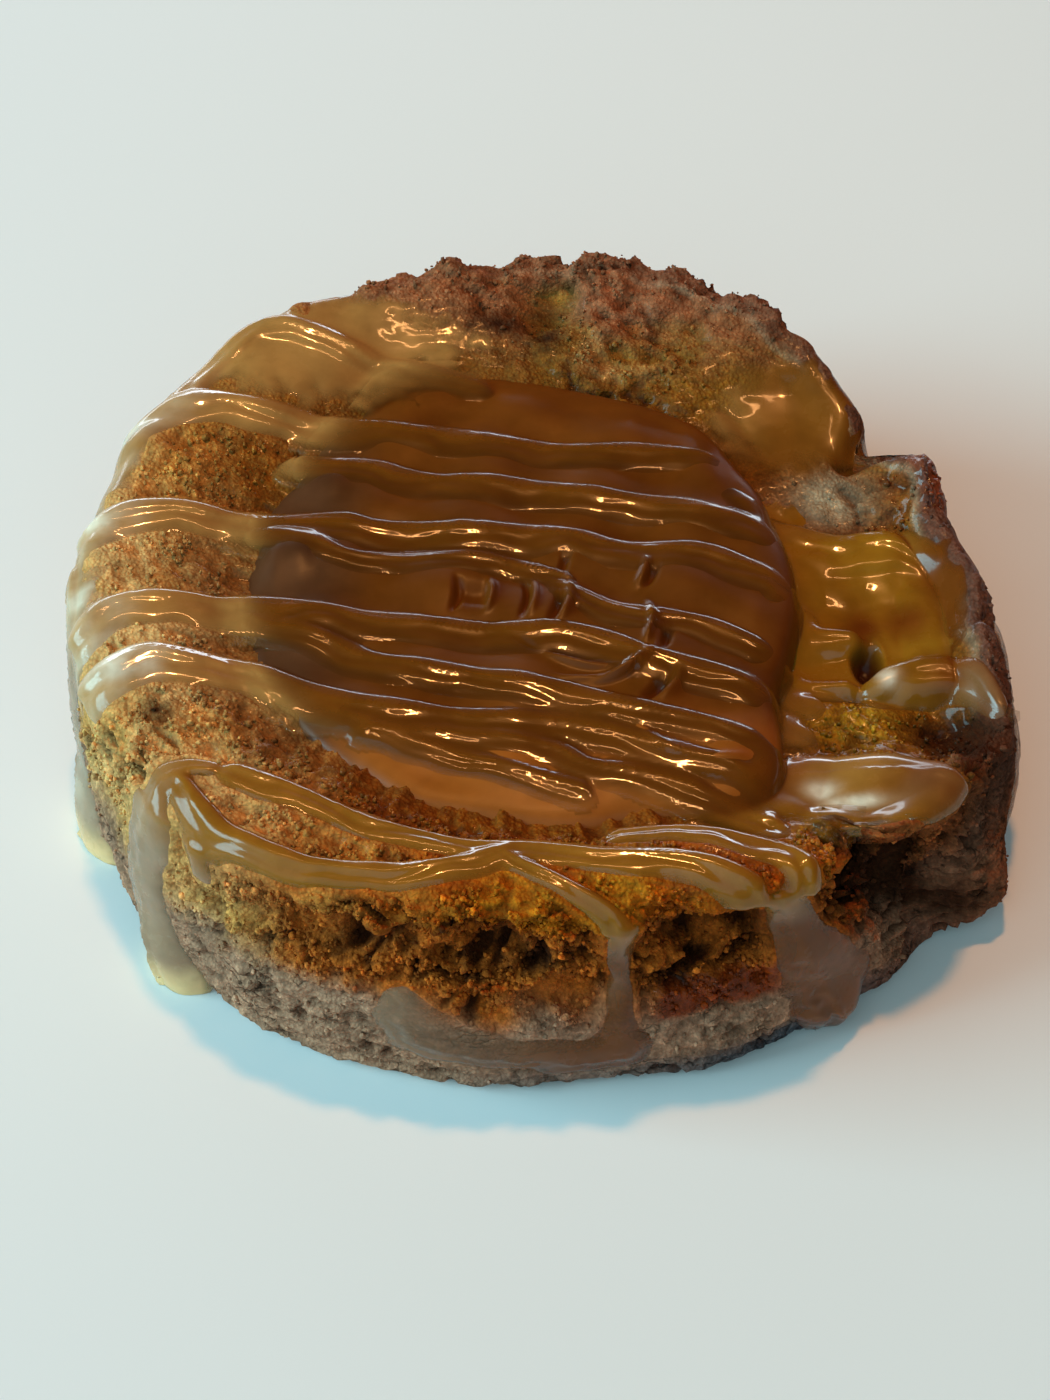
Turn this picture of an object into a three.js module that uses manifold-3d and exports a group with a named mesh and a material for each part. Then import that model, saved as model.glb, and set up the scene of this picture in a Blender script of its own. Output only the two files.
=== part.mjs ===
// A thick caramel cookie: a ring-baked disc of dough with a craggy rim and a broken right side, a thick
// round of set milk chocolate in its dished top, caramel drizzled across both in strands that run
// down the wall, and caramel pooled in the break. Millimetres, +Z up, -Y is the front.
// The origin is on the table, under the middle of the disc.
import * as THREE from "three";
import { mergeVertices } from "three/addons/utils/BufferGeometryUtils.js";
import Module from "manifold-3d";

const wasm = await Module();
wasm.setup();

// Driving sizes of the dough
const COOKIE_RADIUS = 45;
const RIM_HEIGHT = 24;
const BACK_RISE = 4.6; // the far rim stands this much higher
const WALL_BULGE = 0.9;
const FOOT_ROUND = 1;
const DISH_FLOOR = 18; // dough under the middle of the chocolate
const CRAG_DEPTH = 1.9; // along the far rim
const CALM_CRAGS = 0.35; // share of that depth on the near rim
const SIDEWAYS = 0.6; // share of a dent that also lowers the rim, and of a crag that also pushes out

// Driving sizes of the chocolate
const CHOCOLATE_RADIUS = 28;
const CHOCOLATE_CENTRE = new THREE.Vector2(-3, -2.5);
const CHOCOLATE_TOP = 23.2;
const CHOCOLATE_BOTTOM = 15;
const CHOCOLATE_EDGE_ROUND = 3.2;
const KNIFE_DEPTH = 0.4; // of the marks where it was spread

// Driving sizes of the caramel
const BEAD_HEIGHT = 1.5; // how far a strand stands above what it lies on
const BEAD_SINK = 0.23; // its middle line lies this far below the surface
const POOL_LEVEL = 17.6;
const POOL_FRONT = -13;
const FIT_GAP = 0.3; // clearance between two solids that touch
const POOL_CLEARANCE = 1.5 * FIT_GAP; // measured upwards, on a sloping floor

// Facets
const DOUGH_SEGMENTS = 120;
const DOUGH_RINGS = 22;
const CHOCOLATE_SEGMENTS = 54;
const BEAD_SIDES = 6;
const BEAD_STEP = 4.8;

// Heights above or below RIM_HEIGHT at five places between the chocolate (0) and the wall (1):
// the whole rounded shoulder, and the collapsed gutter behind its thin standing crust.
const CREST_PLACE = 0.86;
const PLACES = [0, 0.35, 0.65, CREST_PLACE, 0.97];
const WHOLE_SHOULDER = [-1.6, 0.2, 0.7, 0, -2];
const BROKEN_GUTTER = [-9.5, -9.4, -8, -3.8, -4.6];
const CRUST_DROP = 5; // from the crest down to where the steep wall starts

const radians = THREE.MathUtils.degToRad;
const lerp = THREE.MathUtils.lerp;

// A smooth function of an angle in degrees through [angle, value] points, in rising order.
function ring(points) {
  return (angle) => {
    const turn = THREE.MathUtils.euclideanModulo(angle - points[0][0], 360) + points[0][0];
    let after = points.findIndex((point) => point[0] > turn);
    if (after < 0) after = points.length;
    const from = points[after - 1];
    const to = after < points.length ? points[after] : [points[0][0] + 360, points[0][1]];
    return lerp(from[1], to[1], THREE.MathUtils.smoothstep(turn, from[0], to[0]));
  };
}

// How far the wall and the chocolate's edge stand out of true round, how broken the rim is and how far
// the gutter inside it has sunk, from 0 to 1, and the share of the far rim's rise.
// Angles run from +X, the right, towards +Y, the back.
const wallOffset = ring([
  [-160, 0.9], [-140, 1.6], [-118, 1.9], [-100, 1], [-75, -0.2], [-56, 1], [-40, 2.4], [-22, 2.6], [-5, -0.2],
  [12, -2.4], [22, -1.4], [38, -2.2], [52, -0.4], [70, 0.8], [90, 1.2], [125, 0.4], [150, 0.3], [180, 0.5],
]);
const chocolateOffset = ring([
  [-178, -2], [-145, -1.3], [-122, -0.5], [-104, 1], [-73, 3.4], [-50, 7], [-24, -0.2], [18, 0],
  [33, 1.2], [54, 3.5], [73, 3.2], [113, 6.2], [126, 2], [148, -0.8],
]);
const brokenShare = ring([
  [-66, 0], [-52, 0.3], [-40, 0.6], [-24, 0.9], [0, 1], [12, 0.95], [21, 0.6], [31, 0.9], [45, 0.55],
  [64, 0.2], [84, 0],
]);
const sunkShare = ring([
  [-66, 0], [-52, 0.3], [-42, 0.5], [-24, 0.6], [-13, 1], [10, 1], [22, 0.64], [42, 0.55], [64, 0.2], [84, 0],
]);
const riseShare = ring([
  [-180, 0.1], [-150, 0], [28, 0], [45, 0.3], [60, 0.85], [90, 1], [120, 0.75], [150, 0.4],
]);

// Dents in the dough: where the rim is torn, the slanting split in the wall, and the holes left by
// chunks in the crust. Each has its middle angle and height, half sizes in mm and depth.
// The one below zero is a petal of crust that stands out beside the split.
const DENTS = [
  { angle: 31, height: 22, across: 2.6, tall: 9, depth: 5 },
  { angle: -31, height: 4, across: 4, tall: 5, depth: -3.2 },
  { angle: -50, height: 20, across: 2.6, tall: 4, depth: 7 },
  { angle: -45, height: 14, across: 2.6, tall: 5, depth: 7 },
  { angle: -40, height: 8, across: 2.8, tall: 5, depth: 6 },
  { angle: -97, height: 19.5, across: 5, tall: 2, depth: 2.6 },
  { angle: -72, height: 17.5, across: 6, tall: 2.4, depth: 3.4 },
  { angle: -86, height: 14, across: 4, tall: 2, depth: 2 },
  { angle: -113, height: 19, across: 3, tall: 1.8, depth: 1.8 },
];
const CHUNK_HOLES = [
  { x: 38.3, y: -16.8, across: 4.2, depth: 4.5 },
  { x: 0.5, y: 38.5, across: 3.2, depth: 3 },
];

// Uneven lumps from -1 to 1 that repeat round the disc.
function lumps(angle, along) {
  const turn = radians(angle);
  const large = Math.sin(9 * turn + 1.3 + 2.2 * along) * Math.cos(5 * turn - 3.1 * along);
  const middle = Math.sin(19 * turn - 4.3 * along) * Math.cos(13 * turn + 0.7 + 5.2 * along);
  const small = Math.sin(37 * turn + 2.1 - 9 * along) * Math.cos(29 * turn + 7 * along);
  return 0.45 * large + 0.35 * middle + 0.2 * small;
}

function wallRadius(angle) {
  return COOKIE_RADIUS + wallOffset(angle);
}

function chocolateEdge(angle, inset = 0) {
  const reach = (CHOCOLATE_RADIUS + chocolateOffset(angle)) * (1 - inset / CHOCOLATE_RADIUS);
  const turn = radians(angle);
  return new THREE.Vector2(Math.cos(turn), Math.sin(turn)).multiplyScalar(reach).add(CHOCOLATE_CENTRE);
}

// A point of the dough's plan: place 0 is the chocolate's edge, 1 the wall and -1 the chocolate's middle.
function planPoint(angle, place) {
  const edge = chocolateEdge(angle);
  if (place < 0) return edge.lerp(CHOCOLATE_CENTRE, -place);
  const turn = radians(angle);
  const wall = new THREE.Vector2(Math.cos(turn), Math.sin(turn)).multiplyScalar(wallRadius(angle));
  return edge.lerp(wall, place);
}

function rimCrest(angle) {
  const crest = PLACES.indexOf(CREST_PLACE);
  const broken = lerp(WHOLE_SHOULDER[crest], BROKEN_GUTTER[crest], brokenShare(angle));
  return RIM_HEIGHT + broken + BACK_RISE * riseShare(angle);
}

// The dough's section at one angle, from the chocolate's edge over the rim to the foot of the wall.
function doughSection(angle) {
  const rise = BACK_RISE * riseShare(angle);
  const top = PLACES.map((place, i) => {
    const broken = place < CREST_PLACE ? sunkShare(angle) : brokenShare(angle);
    const height = RIM_HEIGHT + lerp(WHOLE_SHOULDER[i], BROKEN_GUTTER[i], broken);
    return new THREE.Vector2(place, height + rise * place * place);
  });
  const crust = rimCrest(angle) - CRUST_DROP;
  const bulge = WALL_BULGE / COOKIE_RADIUS;
  const wall = [
    new THREE.Vector2(1, crust),
    new THREE.Vector2(1 + 2 * bulge, 0.66 * crust),
    new THREE.Vector2(1 + 2 * bulge, 0.33 * crust),
    new THREE.Vector2(1, FOOT_ROUND),
  ];
  return new THREE.SplineCurve([...top, ...wall]);
}

// How deep the dents are at a point of the wall or rim, less how far a petal stands out there.
function dentAt(angle, height) {
  const depths = DENTS.map((dent) => {
    const turn = THREE.MathUtils.euclideanModulo(angle - dent.angle + 180, 360) - 180;
    const aside = (radians(turn) * COOKIE_RADIUS) / dent.across;
    const away = aside ** 2 + ((height - dent.height) / dent.tall) ** 2;
    return dent.depth * Math.exp(-away);
  });
  return Math.max(0, ...depths) + Math.min(0, ...depths);
}

// How deep the holes left by chunks in the top are at a point of the plan.
function chunkHoleAt(plan) {
  return CHUNK_HOLES.reduce((deepest, hole) => {
    const away = Math.hypot(plan.x - hole.x, plan.y - hole.y) / hole.across;
    return Math.max(deepest, hole.depth * Math.exp(-away * away));
  }, 0);
}

// One point of the dough's skin. Along runs from 0 at the chocolate's edge to 1 at the foot.
function doughPoint(angle, section, along) {
  const flat = section.getPoint(along);
  const plan = planPoint(angle, flat.x);
  let height = flat.y;
  const craggy = THREE.MathUtils.smoothstep(along, 0.1, 0.35) * lerp(CALM_CRAGS, 1, riseShare(angle));
  const lump = CRAG_DEPTH * craggy * lumps(angle, along);
  const dent = dentAt(angle, height) * THREE.MathUtils.smoothstep(flat.x, 0.5, 0.9);
  if (along < 0.5) height -= chunkHoleAt(plan) + SIDEWAYS * dent;
  height += lump * (1 - THREE.MathUtils.smoothstep(along, 0.35, 0.6));
  const inward = 1 - (dent - SIDEWAYS * lump) / plan.length();
  return new THREE.Vector3(plan.x * inward, plan.y * inward, height);
}

// A closed skin: a lathe whose points are then set one by one from their angle and ring.
function lathed(segments, rings, pointAt) {
  const unit = Array.from({ length: rings }, (_, j) => new THREE.Vector2(j > 0 && j < rings - 1 ? 1 : 0, -j));
  const geometry = new THREE.LatheGeometry(unit, segments);
  const position = geometry.getAttribute("position");
  for (let i = 0; i <= segments; i++) {
    const points = pointAt((-360 * (i % segments)) / segments);
    points.forEach((point, j) => position.setXYZ(i * rings + j, point.x, point.y, point.z));
  }
  return geometry;
}

// The dough's skin, raised by a clearance when it cuts what lies in its gutter.
function doughGeometry(raise = 0) {
  const rings = DOUGH_RINGS + 4;
  return lathed(DOUGH_SEGMENTS, rings, (angle) => {
    const section = doughSection(angle);
    const skin = [];
    for (let j = 0; j <= DOUGH_RINGS; j++) skin.push(doughPoint(angle, section, j / DOUGH_RINGS));
    const foot = planPoint(angle, 1).multiplyScalar(1 - FOOT_ROUND / COOKIE_RADIUS);
    skin.forEach((point) => {
      point.z += raise;
    });
    return [
      new THREE.Vector3(CHOCOLATE_CENTRE.x, CHOCOLATE_CENTRE.y, DISH_FLOOR + raise),
      ...skin,
      new THREE.Vector3(foot.x, foot.y, 0),
      new THREE.Vector3(0, 0, 0),
    ];
  });
}

// The chocolate's skin, grown outwards by a clearance when it cuts its own seat.
function chocolateGeometry(grow = 0) {
  const round = CHOCOLATE_EDGE_ROUND;
  const middle = (CHOCOLATE_TOP + CHOCOLATE_BOTTOM) / 2;
  const half = (CHOCOLATE_TOP - CHOCOLATE_BOTTOM) / 2 + grow;
  const section = [
    [20, half + 0.2], [12, half + 0.1], [6, half - 0.1], [round, half - 0.5], [0.9, half - 0.45 * round],
    [0, 0.5], [0, -0.35 * half], [0.3 * round, -half], [14, -half],
  ];
  return lathed(CHOCOLATE_SEGMENTS, section.length + 2, (angle) => {
    const skin = section.map(([inset, height]) => {
      const plan = chocolateEdge(angle, inset - grow);
      const waves = Math.sin(0.4 * plan.x + 0.25 * plan.y) * Math.cos(0.15 * plan.x - 0.4 * plan.y);
      const spread = THREE.MathUtils.smoothstep(inset, 1, 6) * THREE.MathUtils.smoothstep(height, 0, half);
      return new THREE.Vector3(plan.x, plan.y, middle + height + KNIFE_DEPTH * waves * spread);
    });
    const { x, y } = CHOCOLATE_CENTRE;
    const centres = [half + 0.2, -half].map((height) => new THREE.Vector3(x, y, middle + height));
    return [centres[0], ...skin, centres[1]];
  });
}

// A manifold solid of a closed geometry, with its seam closed and collapsed faces dropped.
function solidOf(geometry) {
  const bare = geometry.clone();
  bare.deleteAttribute("normal");
  bare.deleteAttribute("uv");
  const merged = mergeVertices(bare, 1e-4);
  const corners = [];
  for (let i = 0; i < merged.index.count; i += 3) {
    const [a, b, c] = [0, 1, 2].map((k) => merged.index.getX(i + k));
    if (a !== b && b !== c && c !== a) corners.push(a, b, c);
  }
  const vertProperties = Float32Array.from(merged.getAttribute("position").array);
  const triVerts = Uint32Array.from(corners);
  return new wasm.Manifold(new wasm.Mesh({ numProp: 3, vertProperties, triVerts }));
}

function geometryOf(solid) {
  const mesh = solid.getMesh();
  const geometry = new THREE.BufferGeometry();
  geometry.setAttribute("position", new THREE.BufferAttribute(mesh.vertProperties, 3));
  geometry.setIndex(new THREE.BufferAttribute(mesh.triVerts, 1));
  geometry.computeVertexNormals();
  return geometry;
}

// The largest body of a solid, without the loose scraps that a cut leaves.
function largestBody(solid) {
  return solid.decompose().reduce((best, body) => (body.volume() > best.volume() ? body : best));
}

const doughSkin = doughGeometry();
const chocolateSkin = chocolateGeometry();
const surfaces = [doughSkin, chocolateSkin].map((geometry) => new THREE.Mesh(geometry));
const ray = new THREE.Raycaster();

function hit(from, towards) {
  ray.set(from, towards);
  return ray.intersectObjects(surfaces)[0].point;
}

// A point of a caramel strand on the top, or on the wall, with the strand's width there.
function onTop(x, y, width) {
  const point = hit(new THREE.Vector3(x, y, 2 * RIM_HEIGHT), new THREE.Vector3(0, 0, -1));
  return { point, up: new THREE.Vector3(0, 0, 1), width };
}

function onWall(angle, height, width, away = 0) {
  const out = new THREE.Vector3(Math.cos(radians(angle)), Math.sin(radians(angle)), 0);
  const from = out.clone().multiplyScalar(2 * COOKIE_RADIUS).setZ(height);
  const point = hit(from, out.clone().negate()).addScaledVector(out, away);
  return { point, up: out, width };
}

// A strand: a capsule bent along a smooth path through its points.
function bead(stations) {
  const path = new THREE.CatmullRomCurve3(stations.map((station) => station.point));
  const ups = new THREE.CatmullRomCurve3(stations.map((station) => station.up));
  const widths = new THREE.SplineCurve(stations.map((station, i) => new THREE.Vector2(i, station.width)));
  const steps = Math.max(3, Math.round(path.getLength() / BEAD_STEP));
  const geometry = new THREE.CapsuleGeometry(1, steps, 2, BEAD_SIDES, steps);
  const position = geometry.getAttribute("position");
  const vertex = new THREE.Vector3();
  for (let i = 0; i < position.count; i++) {
    vertex.fromBufferAttribute(position, i);
    const t = THREE.MathUtils.clamp(vertex.y / steps + 0.5, 0, 1);
    const beyond = vertex.y - (t - 0.5) * steps;
    const half = widths.getPoint(t).y / 2;
    const tangent = path.getTangent(t);
    const side = new THREE.Vector3().crossVectors(ups.getPoint(t), tangent).normalize();
    const up = new THREE.Vector3().crossVectors(tangent, side);
    const placed = path.getPoint(t).addScaledVector(tangent, beyond * half);
    placed.addScaledVector(side, -vertex.x * half).addScaledVector(up, vertex.z * BEAD_HEIGHT - BEAD_SINK);
    position.setXYZ(i, placed.x, placed.y, placed.z);
  }
  return solidOf(geometry);
}

// The drizzle from back to front, each strand from its left end to its right end as [x, y].
const STRANDS = [
  { width: 4.6, through: [[-34, 25.5], [-28, 31.5], [-20, 32], [-11, 30], [-6, 26]] },
  { width: 4.4, through: [[-39.5, 16.5], [-30, 21.5], [-18, 21], [-5, 18.5], [8, 17.5], [17, 15]] },
  { width: 3.8, through: [[-40.5, 12.5], [-28, 16], [-18, 15], [-10, 12.5], [4, 11], [20, 8]] },
  { width: 5.2, through: [[-42, 4], [-30, 6.2], [-12, 5.8], [5, 4.2], [16, 2.2], [23, 0.5]] },
  { width: 3.8, through: [[-26, 3.5], [-16, 1.5], [-6, 0.8], [2, -1.5], [12, -3.5], [22, -6]] },
  { width: 5, through: [[-41.5, -8], [-34, -5], [-22, -5.5], [-8, -8], [4, -9.5], [14, -12.5], [22, -15.5]] },
  { width: 3.6, through: [[-26, -7.5], [-16, -11], [-4, -14.5], [8, -17]] },
  { width: 5.2, through: [[-40, -16], [-34, -13], [-24, -14.5], [-13, -18], [0, -20.5], [10, -22.5]] },
  { width: 4.2, through: [[-26, -18], [-16, -22.5], [-6, -27], [4, -30]] },
  { width: 4.6, through: [[2, -23], [10, -26.5], [18, -29.5]] },
  { width: 4.2, through: [[-28, -26.5], [-17, -31.5], [-8, -34.5], [3, -35.5], [13, -37.5], [20, -40]] },
  { width: 4.2, through: [[-31, -30], [-23, -35], [-14, -37.5], [-6, -38], [1, -36.5]] },
  { width: 4.4, through: [[7, -33.6], [13, -33.2], [20, -34.5], [23.5, -37.5], [22, -39.5]] },
];

// Drips down the wall, each from its top to its tip as [angle, height, width], and how far off the wall
// its tip has run out on the table.
const DRIPS = [
  [[-167, 19, 6], [-167, 12, 6], [-164, 6, 6], [-159, 1.5, 5, 1.4]],
  [[-142, 15, 5], [-143, 9, 6.5], [-141, 4, 6.5], [-138.5, 1.2, 6, 1.4]],
  [[-138, 21, 4], [-138.5, 18.5, 4]],
  [[-93, 12, 5], [-94, 8.5, 11], [-92, 6.5, 9]],
  [[-82, 19, 4.2], [-82, 13, 4], [-81, 7.5, 5.5]],
  [[-60, 18, 4], [-58, 13, 8], [-56, 6, 8.5], [-54.5, 1.2, 6, 1.4]],
  [[-13, 15, 5], [-16, 10.5, 6], [-18.5, 7, 5]],
];

// The broad tongue of caramel that runs over the broken corner, as [x, y, width].
const TONGUE = [[23.5, -28, 7], [28.5, -26, 9], [34, -25.8, 7]];

function caramelBeads() {
  const strands = STRANDS.map(({ width, through }) => bead(through.map(([x, y]) => onTop(x, y, width))));
  const drips = DRIPS.map((drip) => bead(drip.map((station) => onWall(...station))));
  const tongue = bead(TONGUE.map((station) => onTop(...station)));
  return [...strands, ...drips, tongue].reduce((whole, next) => whole.add(next));
}

// An upright block over the chocolate's plan, to part the drizzle on it from the drizzle on the dough.
function overChocolate(inset) {
  const outline = new THREE.Shape();
  for (let i = 0; i < CHOCOLATE_SEGMENTS; i++) {
    const { x, y } = chocolateEdge((360 * i) / CHOCOLATE_SEGMENTS, inset);
    if (i) outline.lineTo(x, y);
    else outline.moveTo(x, y);
  }
  const depth = 2 * RIM_HEIGHT;
  const geometry = new THREE.ExtrudeGeometry(outline, { depth, bevelEnabled: false });
  return solidOf(geometry.translate(0, 0, (CHOCOLATE_TOP + CHOCOLATE_BOTTOM) / 2));
}

function block(lowest, highest) {
  const box = new THREE.Box3(new THREE.Vector3(...lowest), new THREE.Vector3(...highest));
  const { x, y, z } = box.getSize(new THREE.Vector3());
  const middle = box.getCenter(new THREE.Vector3());
  return solidOf(new THREE.BoxGeometry(x, y, z).translate(middle.x, middle.y, middle.z));
}

const dough = solidOf(doughSkin);
const chocolate = solidOf(chocolateSkin);
const beads = caramelBeads();
const reach = 2 * COOKIE_RADIUS;
const aboveTable = block([-reach, -reach, 0], [reach, reach, reach]);

const cookie = largestBody(
  dough
    .add(beads)
    .subtract(overChocolate(-FIT_GAP / 2))
    .subtract(solidOf(chocolateGeometry(FIT_GAP)))
    .intersect(aboveTable),
);
const chocolateWithDrizzle = largestBody(chocolate.add(beads.intersect(overChocolate(FIT_GAP / 2))));

// Caramel that has filled the gutter between the chocolate and the right wall up to its level.
const gutter = block([0, POOL_FRONT, DISH_FLOOR / 2], [0.9 * COOKIE_RADIUS, COOKIE_RADIUS / 2, POOL_LEVEL]);
const pool = largestBody(
  gutter.subtract(solidOf(doughGeometry(POOL_CLEARANCE))).subtract(solidOf(chocolateGeometry(FIT_GAP))),
);

function named(name, geometry, colour, roughness) {
  const material = new THREE.MeshStandardMaterial({ color: colour, roughness, metalness: 0 });
  const mesh = new THREE.Mesh(geometry, material);
  mesh.name = name;
  return mesh;
}

const caramelCookie = new THREE.Group();
caramelCookie.name = "caramel_cookie";
caramelCookie.add(
  named("cookie", geometryOf(cookie), 0x9a6a2e, 0.85),
  named("chocolate", geometryOf(chocolateWithDrizzle), 0x5a2f16, 0.35),
  named("caramel_pool", geometryOf(pool), 0x8a5a14, 0.15),
);

export default caramelCookie;
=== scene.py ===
"""The looks of a thick caramel cookie: browned crumb, set milk chocolate and glossy caramel.

The forms repeat the solids' own sizes, in millimetres from the middle of the base, and add what is
too fine for them: grains and cracks in the dough, knife marks in the chocolate and the caramel's films.
"""

import math

import bpy
import numpy as np
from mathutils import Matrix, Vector, noise


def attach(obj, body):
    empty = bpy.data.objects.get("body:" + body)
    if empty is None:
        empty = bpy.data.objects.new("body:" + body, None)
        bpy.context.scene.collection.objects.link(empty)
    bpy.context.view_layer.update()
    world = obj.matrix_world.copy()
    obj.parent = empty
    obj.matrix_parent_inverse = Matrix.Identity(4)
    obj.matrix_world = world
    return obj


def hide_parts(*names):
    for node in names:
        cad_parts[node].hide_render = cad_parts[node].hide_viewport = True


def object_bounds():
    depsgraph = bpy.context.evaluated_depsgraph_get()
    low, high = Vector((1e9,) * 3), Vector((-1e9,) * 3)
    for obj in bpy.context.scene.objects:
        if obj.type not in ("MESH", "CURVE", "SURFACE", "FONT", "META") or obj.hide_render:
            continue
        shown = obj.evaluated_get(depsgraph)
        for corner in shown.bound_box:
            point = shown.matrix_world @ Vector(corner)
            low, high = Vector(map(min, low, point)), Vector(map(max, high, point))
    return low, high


bl_info = {
    "name": "Caramel cookie",
    "version": (1, 0, 0),
    "blender": (4, 5, 0),
    "location": "3D View > Sidebar > Cookie",
    "description": "Models the dough, the chocolate and the caramel of a thick ring-baked cookie",
    "category": "Add Mesh",
}

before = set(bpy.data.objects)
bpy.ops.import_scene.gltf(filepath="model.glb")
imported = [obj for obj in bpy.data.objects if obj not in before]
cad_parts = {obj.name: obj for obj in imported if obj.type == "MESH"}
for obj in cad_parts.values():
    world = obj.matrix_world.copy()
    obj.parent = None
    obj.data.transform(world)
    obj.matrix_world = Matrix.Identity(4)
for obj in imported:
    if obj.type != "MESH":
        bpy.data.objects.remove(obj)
CAD_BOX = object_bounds()
MM = 0.001


# Sizes and colours that a user would change

def length(name, description, default_mm):
    return bpy.props.FloatProperty(
        name=name, description=description, default=default_mm * MM, min=0.0, unit="LENGTH", precision=5
    )


def colour(name, description, red, green, blue):
    return bpy.props.FloatVectorProperty(
        name=name,
        description=description,
        default=(red, green, blue),
        size=3,
        min=0.0,
        max=1.0,
        subtype="COLOR",
    )


class CookieSizes(bpy.types.PropertyGroup):
    """Driving sizes of the cookie"""

    cookie_radius: length("Cookie radius", "From the middle to the wall's mean line", 45)
    rim_height: length("Rim height", "Top of the near rim above the table", 24)
    back_rise: length("Back rise", "How much higher the far rim stands", 4.6)
    wall_bulge: length("Wall bulge", "How far the wall swells at half height", 0.9)
    foot_round: length("Foot round", "Rounding where the wall meets the table", 1)
    dish_floor: length("Dish floor", "Dough under the middle of the chocolate", 18)
    crag_depth: length("Crag depth", "Lumps along the far rim", 1.9)
    grain_depth: length("Grain depth", "Height of the grains of crumb", 0.5)
    crack_depth: length("Crack depth", "Depth of the cracks between crumbs", 1.1)
    crumb_size: length("Crumb size", "Mean radius of a loose crumb", 0.2)
    chocolate_radius: length("Chocolate radius", "Mean radius of the chocolate round", 28)
    chocolate_top: length("Chocolate top", "Height of the chocolate above the table", 23.2)
    chocolate_bottom: length("Chocolate bottom", "Height of its underside above the table", 15)
    chocolate_round: length("Chocolate edge", "Rounding of the chocolate's upper edge", 3.2)
    knife_depth: length("Knife depth", "Waves left where the chocolate was spread", 0.4)
    strand_height: length("Strand height", "How far a caramel strand stands up", 0.85)
    film_height: length("Film height", "Thickness of the films between strands", 0.3)
    pool_level: length("Pool level", "Top of the caramel in the gutter", 17.6)


class CookieColours(bpy.types.PropertyGroup):
    """Colours of the cookie's surfaces"""

    golden: colour("Golden crumb", "Crumb between the strands", 0.47, 0.165, 0.006)
    sandy: colour("Sandy crumb", "Dry crumb on the left", 0.76, 0.41, 0.145)
    toasted: colour("Toasted crumb", "Shoulder of the rim at the front", 0.39, 0.072, 0.002)
    ruddy: colour("Ruddy crust", "Crags of the far rim", 0.33, 0.115, 0.050)
    olive: colour("Olive crumb", "Crumb inside the far rim", 0.33, 0.17, 0.020)
    ashen: colour("Ashen wall", "Lower wall", 0.42, 0.212, 0.125)
    umber: colour("Umber crumb", "Torn crumb under the front shoulder", 0.54, 0.118, 0.012)
    plum: colour("Plum crust", "Outside of the broken wall", 0.145, 0.052, 0.030)
    crust: colour("Crust edge", "Thin torn edge of the crust", 0.51, 0.43, 0.28)
    # slate makes the foot of the front wall darker and bluer, lowest down
    slate: colour("Foot", "Darker foot of the wall at the front", 0.08, 0.085, 0.10)
    # hollow is painted shade, laid into pits, cracks, chunk holes, deep dents, the torn band, the split and
    # other hollows
    hollow: colour("Hollows", "Pits and cracks in the crumb", 0.040, 0.009, 0.002)
    gilded: colour("Gilded crumb", "Bright wet crumb in the broken corner", 0.45, 0.22, 0.010)
    soaked: colour("Soaked crumb", "Crumb full of caramel", 0.19, 0.054, 0.003)
    amber: colour("Amber crumb", "Wet strip low on the front wall", 0.23, 0.030, 0.001)
    chocolate: colour("Chocolate", "Set milk chocolate", 0.122, 0.030, 0.002)
    # Painted reflection: a lilac tint on the chocolate's left lobes
    painted_lilac_reflection: colour("Lilac chocolate", "Lobes of the chocolate at the left", 0.085, 0.030, 0.011)
    # Painted sheen: the chocolate is painted lighter at the front and a little at the back
    painted_sheen_chocolate: colour("Sheened chocolate", "Chocolate at the front, where it set dull", 0.28, 0.074, 0.008)
    caramel: colour("Caramel on dough", "Caramel where dough shows through", 0.43, 0.205, 0.052)
    dark_caramel: colour("Caramel on chocolate", "Thin caramel on chocolate", 0.105, 0.027, 0.002)
    amber_caramel: colour(
        "Thick caramel on chocolate", "Middle of the strands on chocolate", 0.165, 0.044, 0.002
    )
    front_caramel: colour("Caramel on toasted crumb", "Caramel over the front shoulder", 0.30, 0.108, 0.009)
    # Painted sheen: pale reflections painted on the films at the left rim, the tongue and the loop
    painted_sheen_caramel: colour("Highlighted caramel", "Pale films at the rim", 0.80, 0.69, 0.52)
    pool_caramel: colour("Deep caramel", "Caramel pooled in the gutter", 0.31, 0.132, 0.007)
    wall_caramel: colour("Wall caramel", "Drips down the wall", 0.35, 0.205, 0.120)
    brown_caramel: colour("Brown caramel", "Drips and films on the broken side", 0.16, 0.038, 0.003)
    tip_caramel: colour("Drip tips", "Thin tips of drips near the table", 1.0, 0.62, 0.28)
    floor: colour("Floor", "Plain pale floor", 0.84, 0.85, 0.85)


# Small helpers

def smoothstep(value, low, high):
    t = np.clip((value - low) / (high - low), 0.0, 1.0)
    return t * t * (3.0 - 2.0 * t)


def mix(start, end, share):
    return start + (end - start) * share


def hump(value, middle, reach):
    """A smooth bell from 0 to 1."""
    return np.exp(-(((value - middle) / reach) ** 2))


def signed(angle):
    """An angle in degrees, from -180 to 180."""
    return np.mod(angle + 180.0, 360.0) - 180.0


def ring(points):
    """A smooth function of an angle in degrees through (angle, value) points, closed on itself."""
    angles = np.array([point[0] for point in points] + [points[0][0] + 360.0])
    values = np.array([point[1] for point in points] + [points[0][1]], float)

    def at(angle):
        turn = np.mod(angle - angles[0], 360.0) + angles[0]
        after = np.clip(np.searchsorted(angles, turn, side="right"), 1, len(values) - 1)
        return mix(values[after - 1], values[after], smoothstep(turn, angles[after - 1], angles[after]))

    return at


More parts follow.
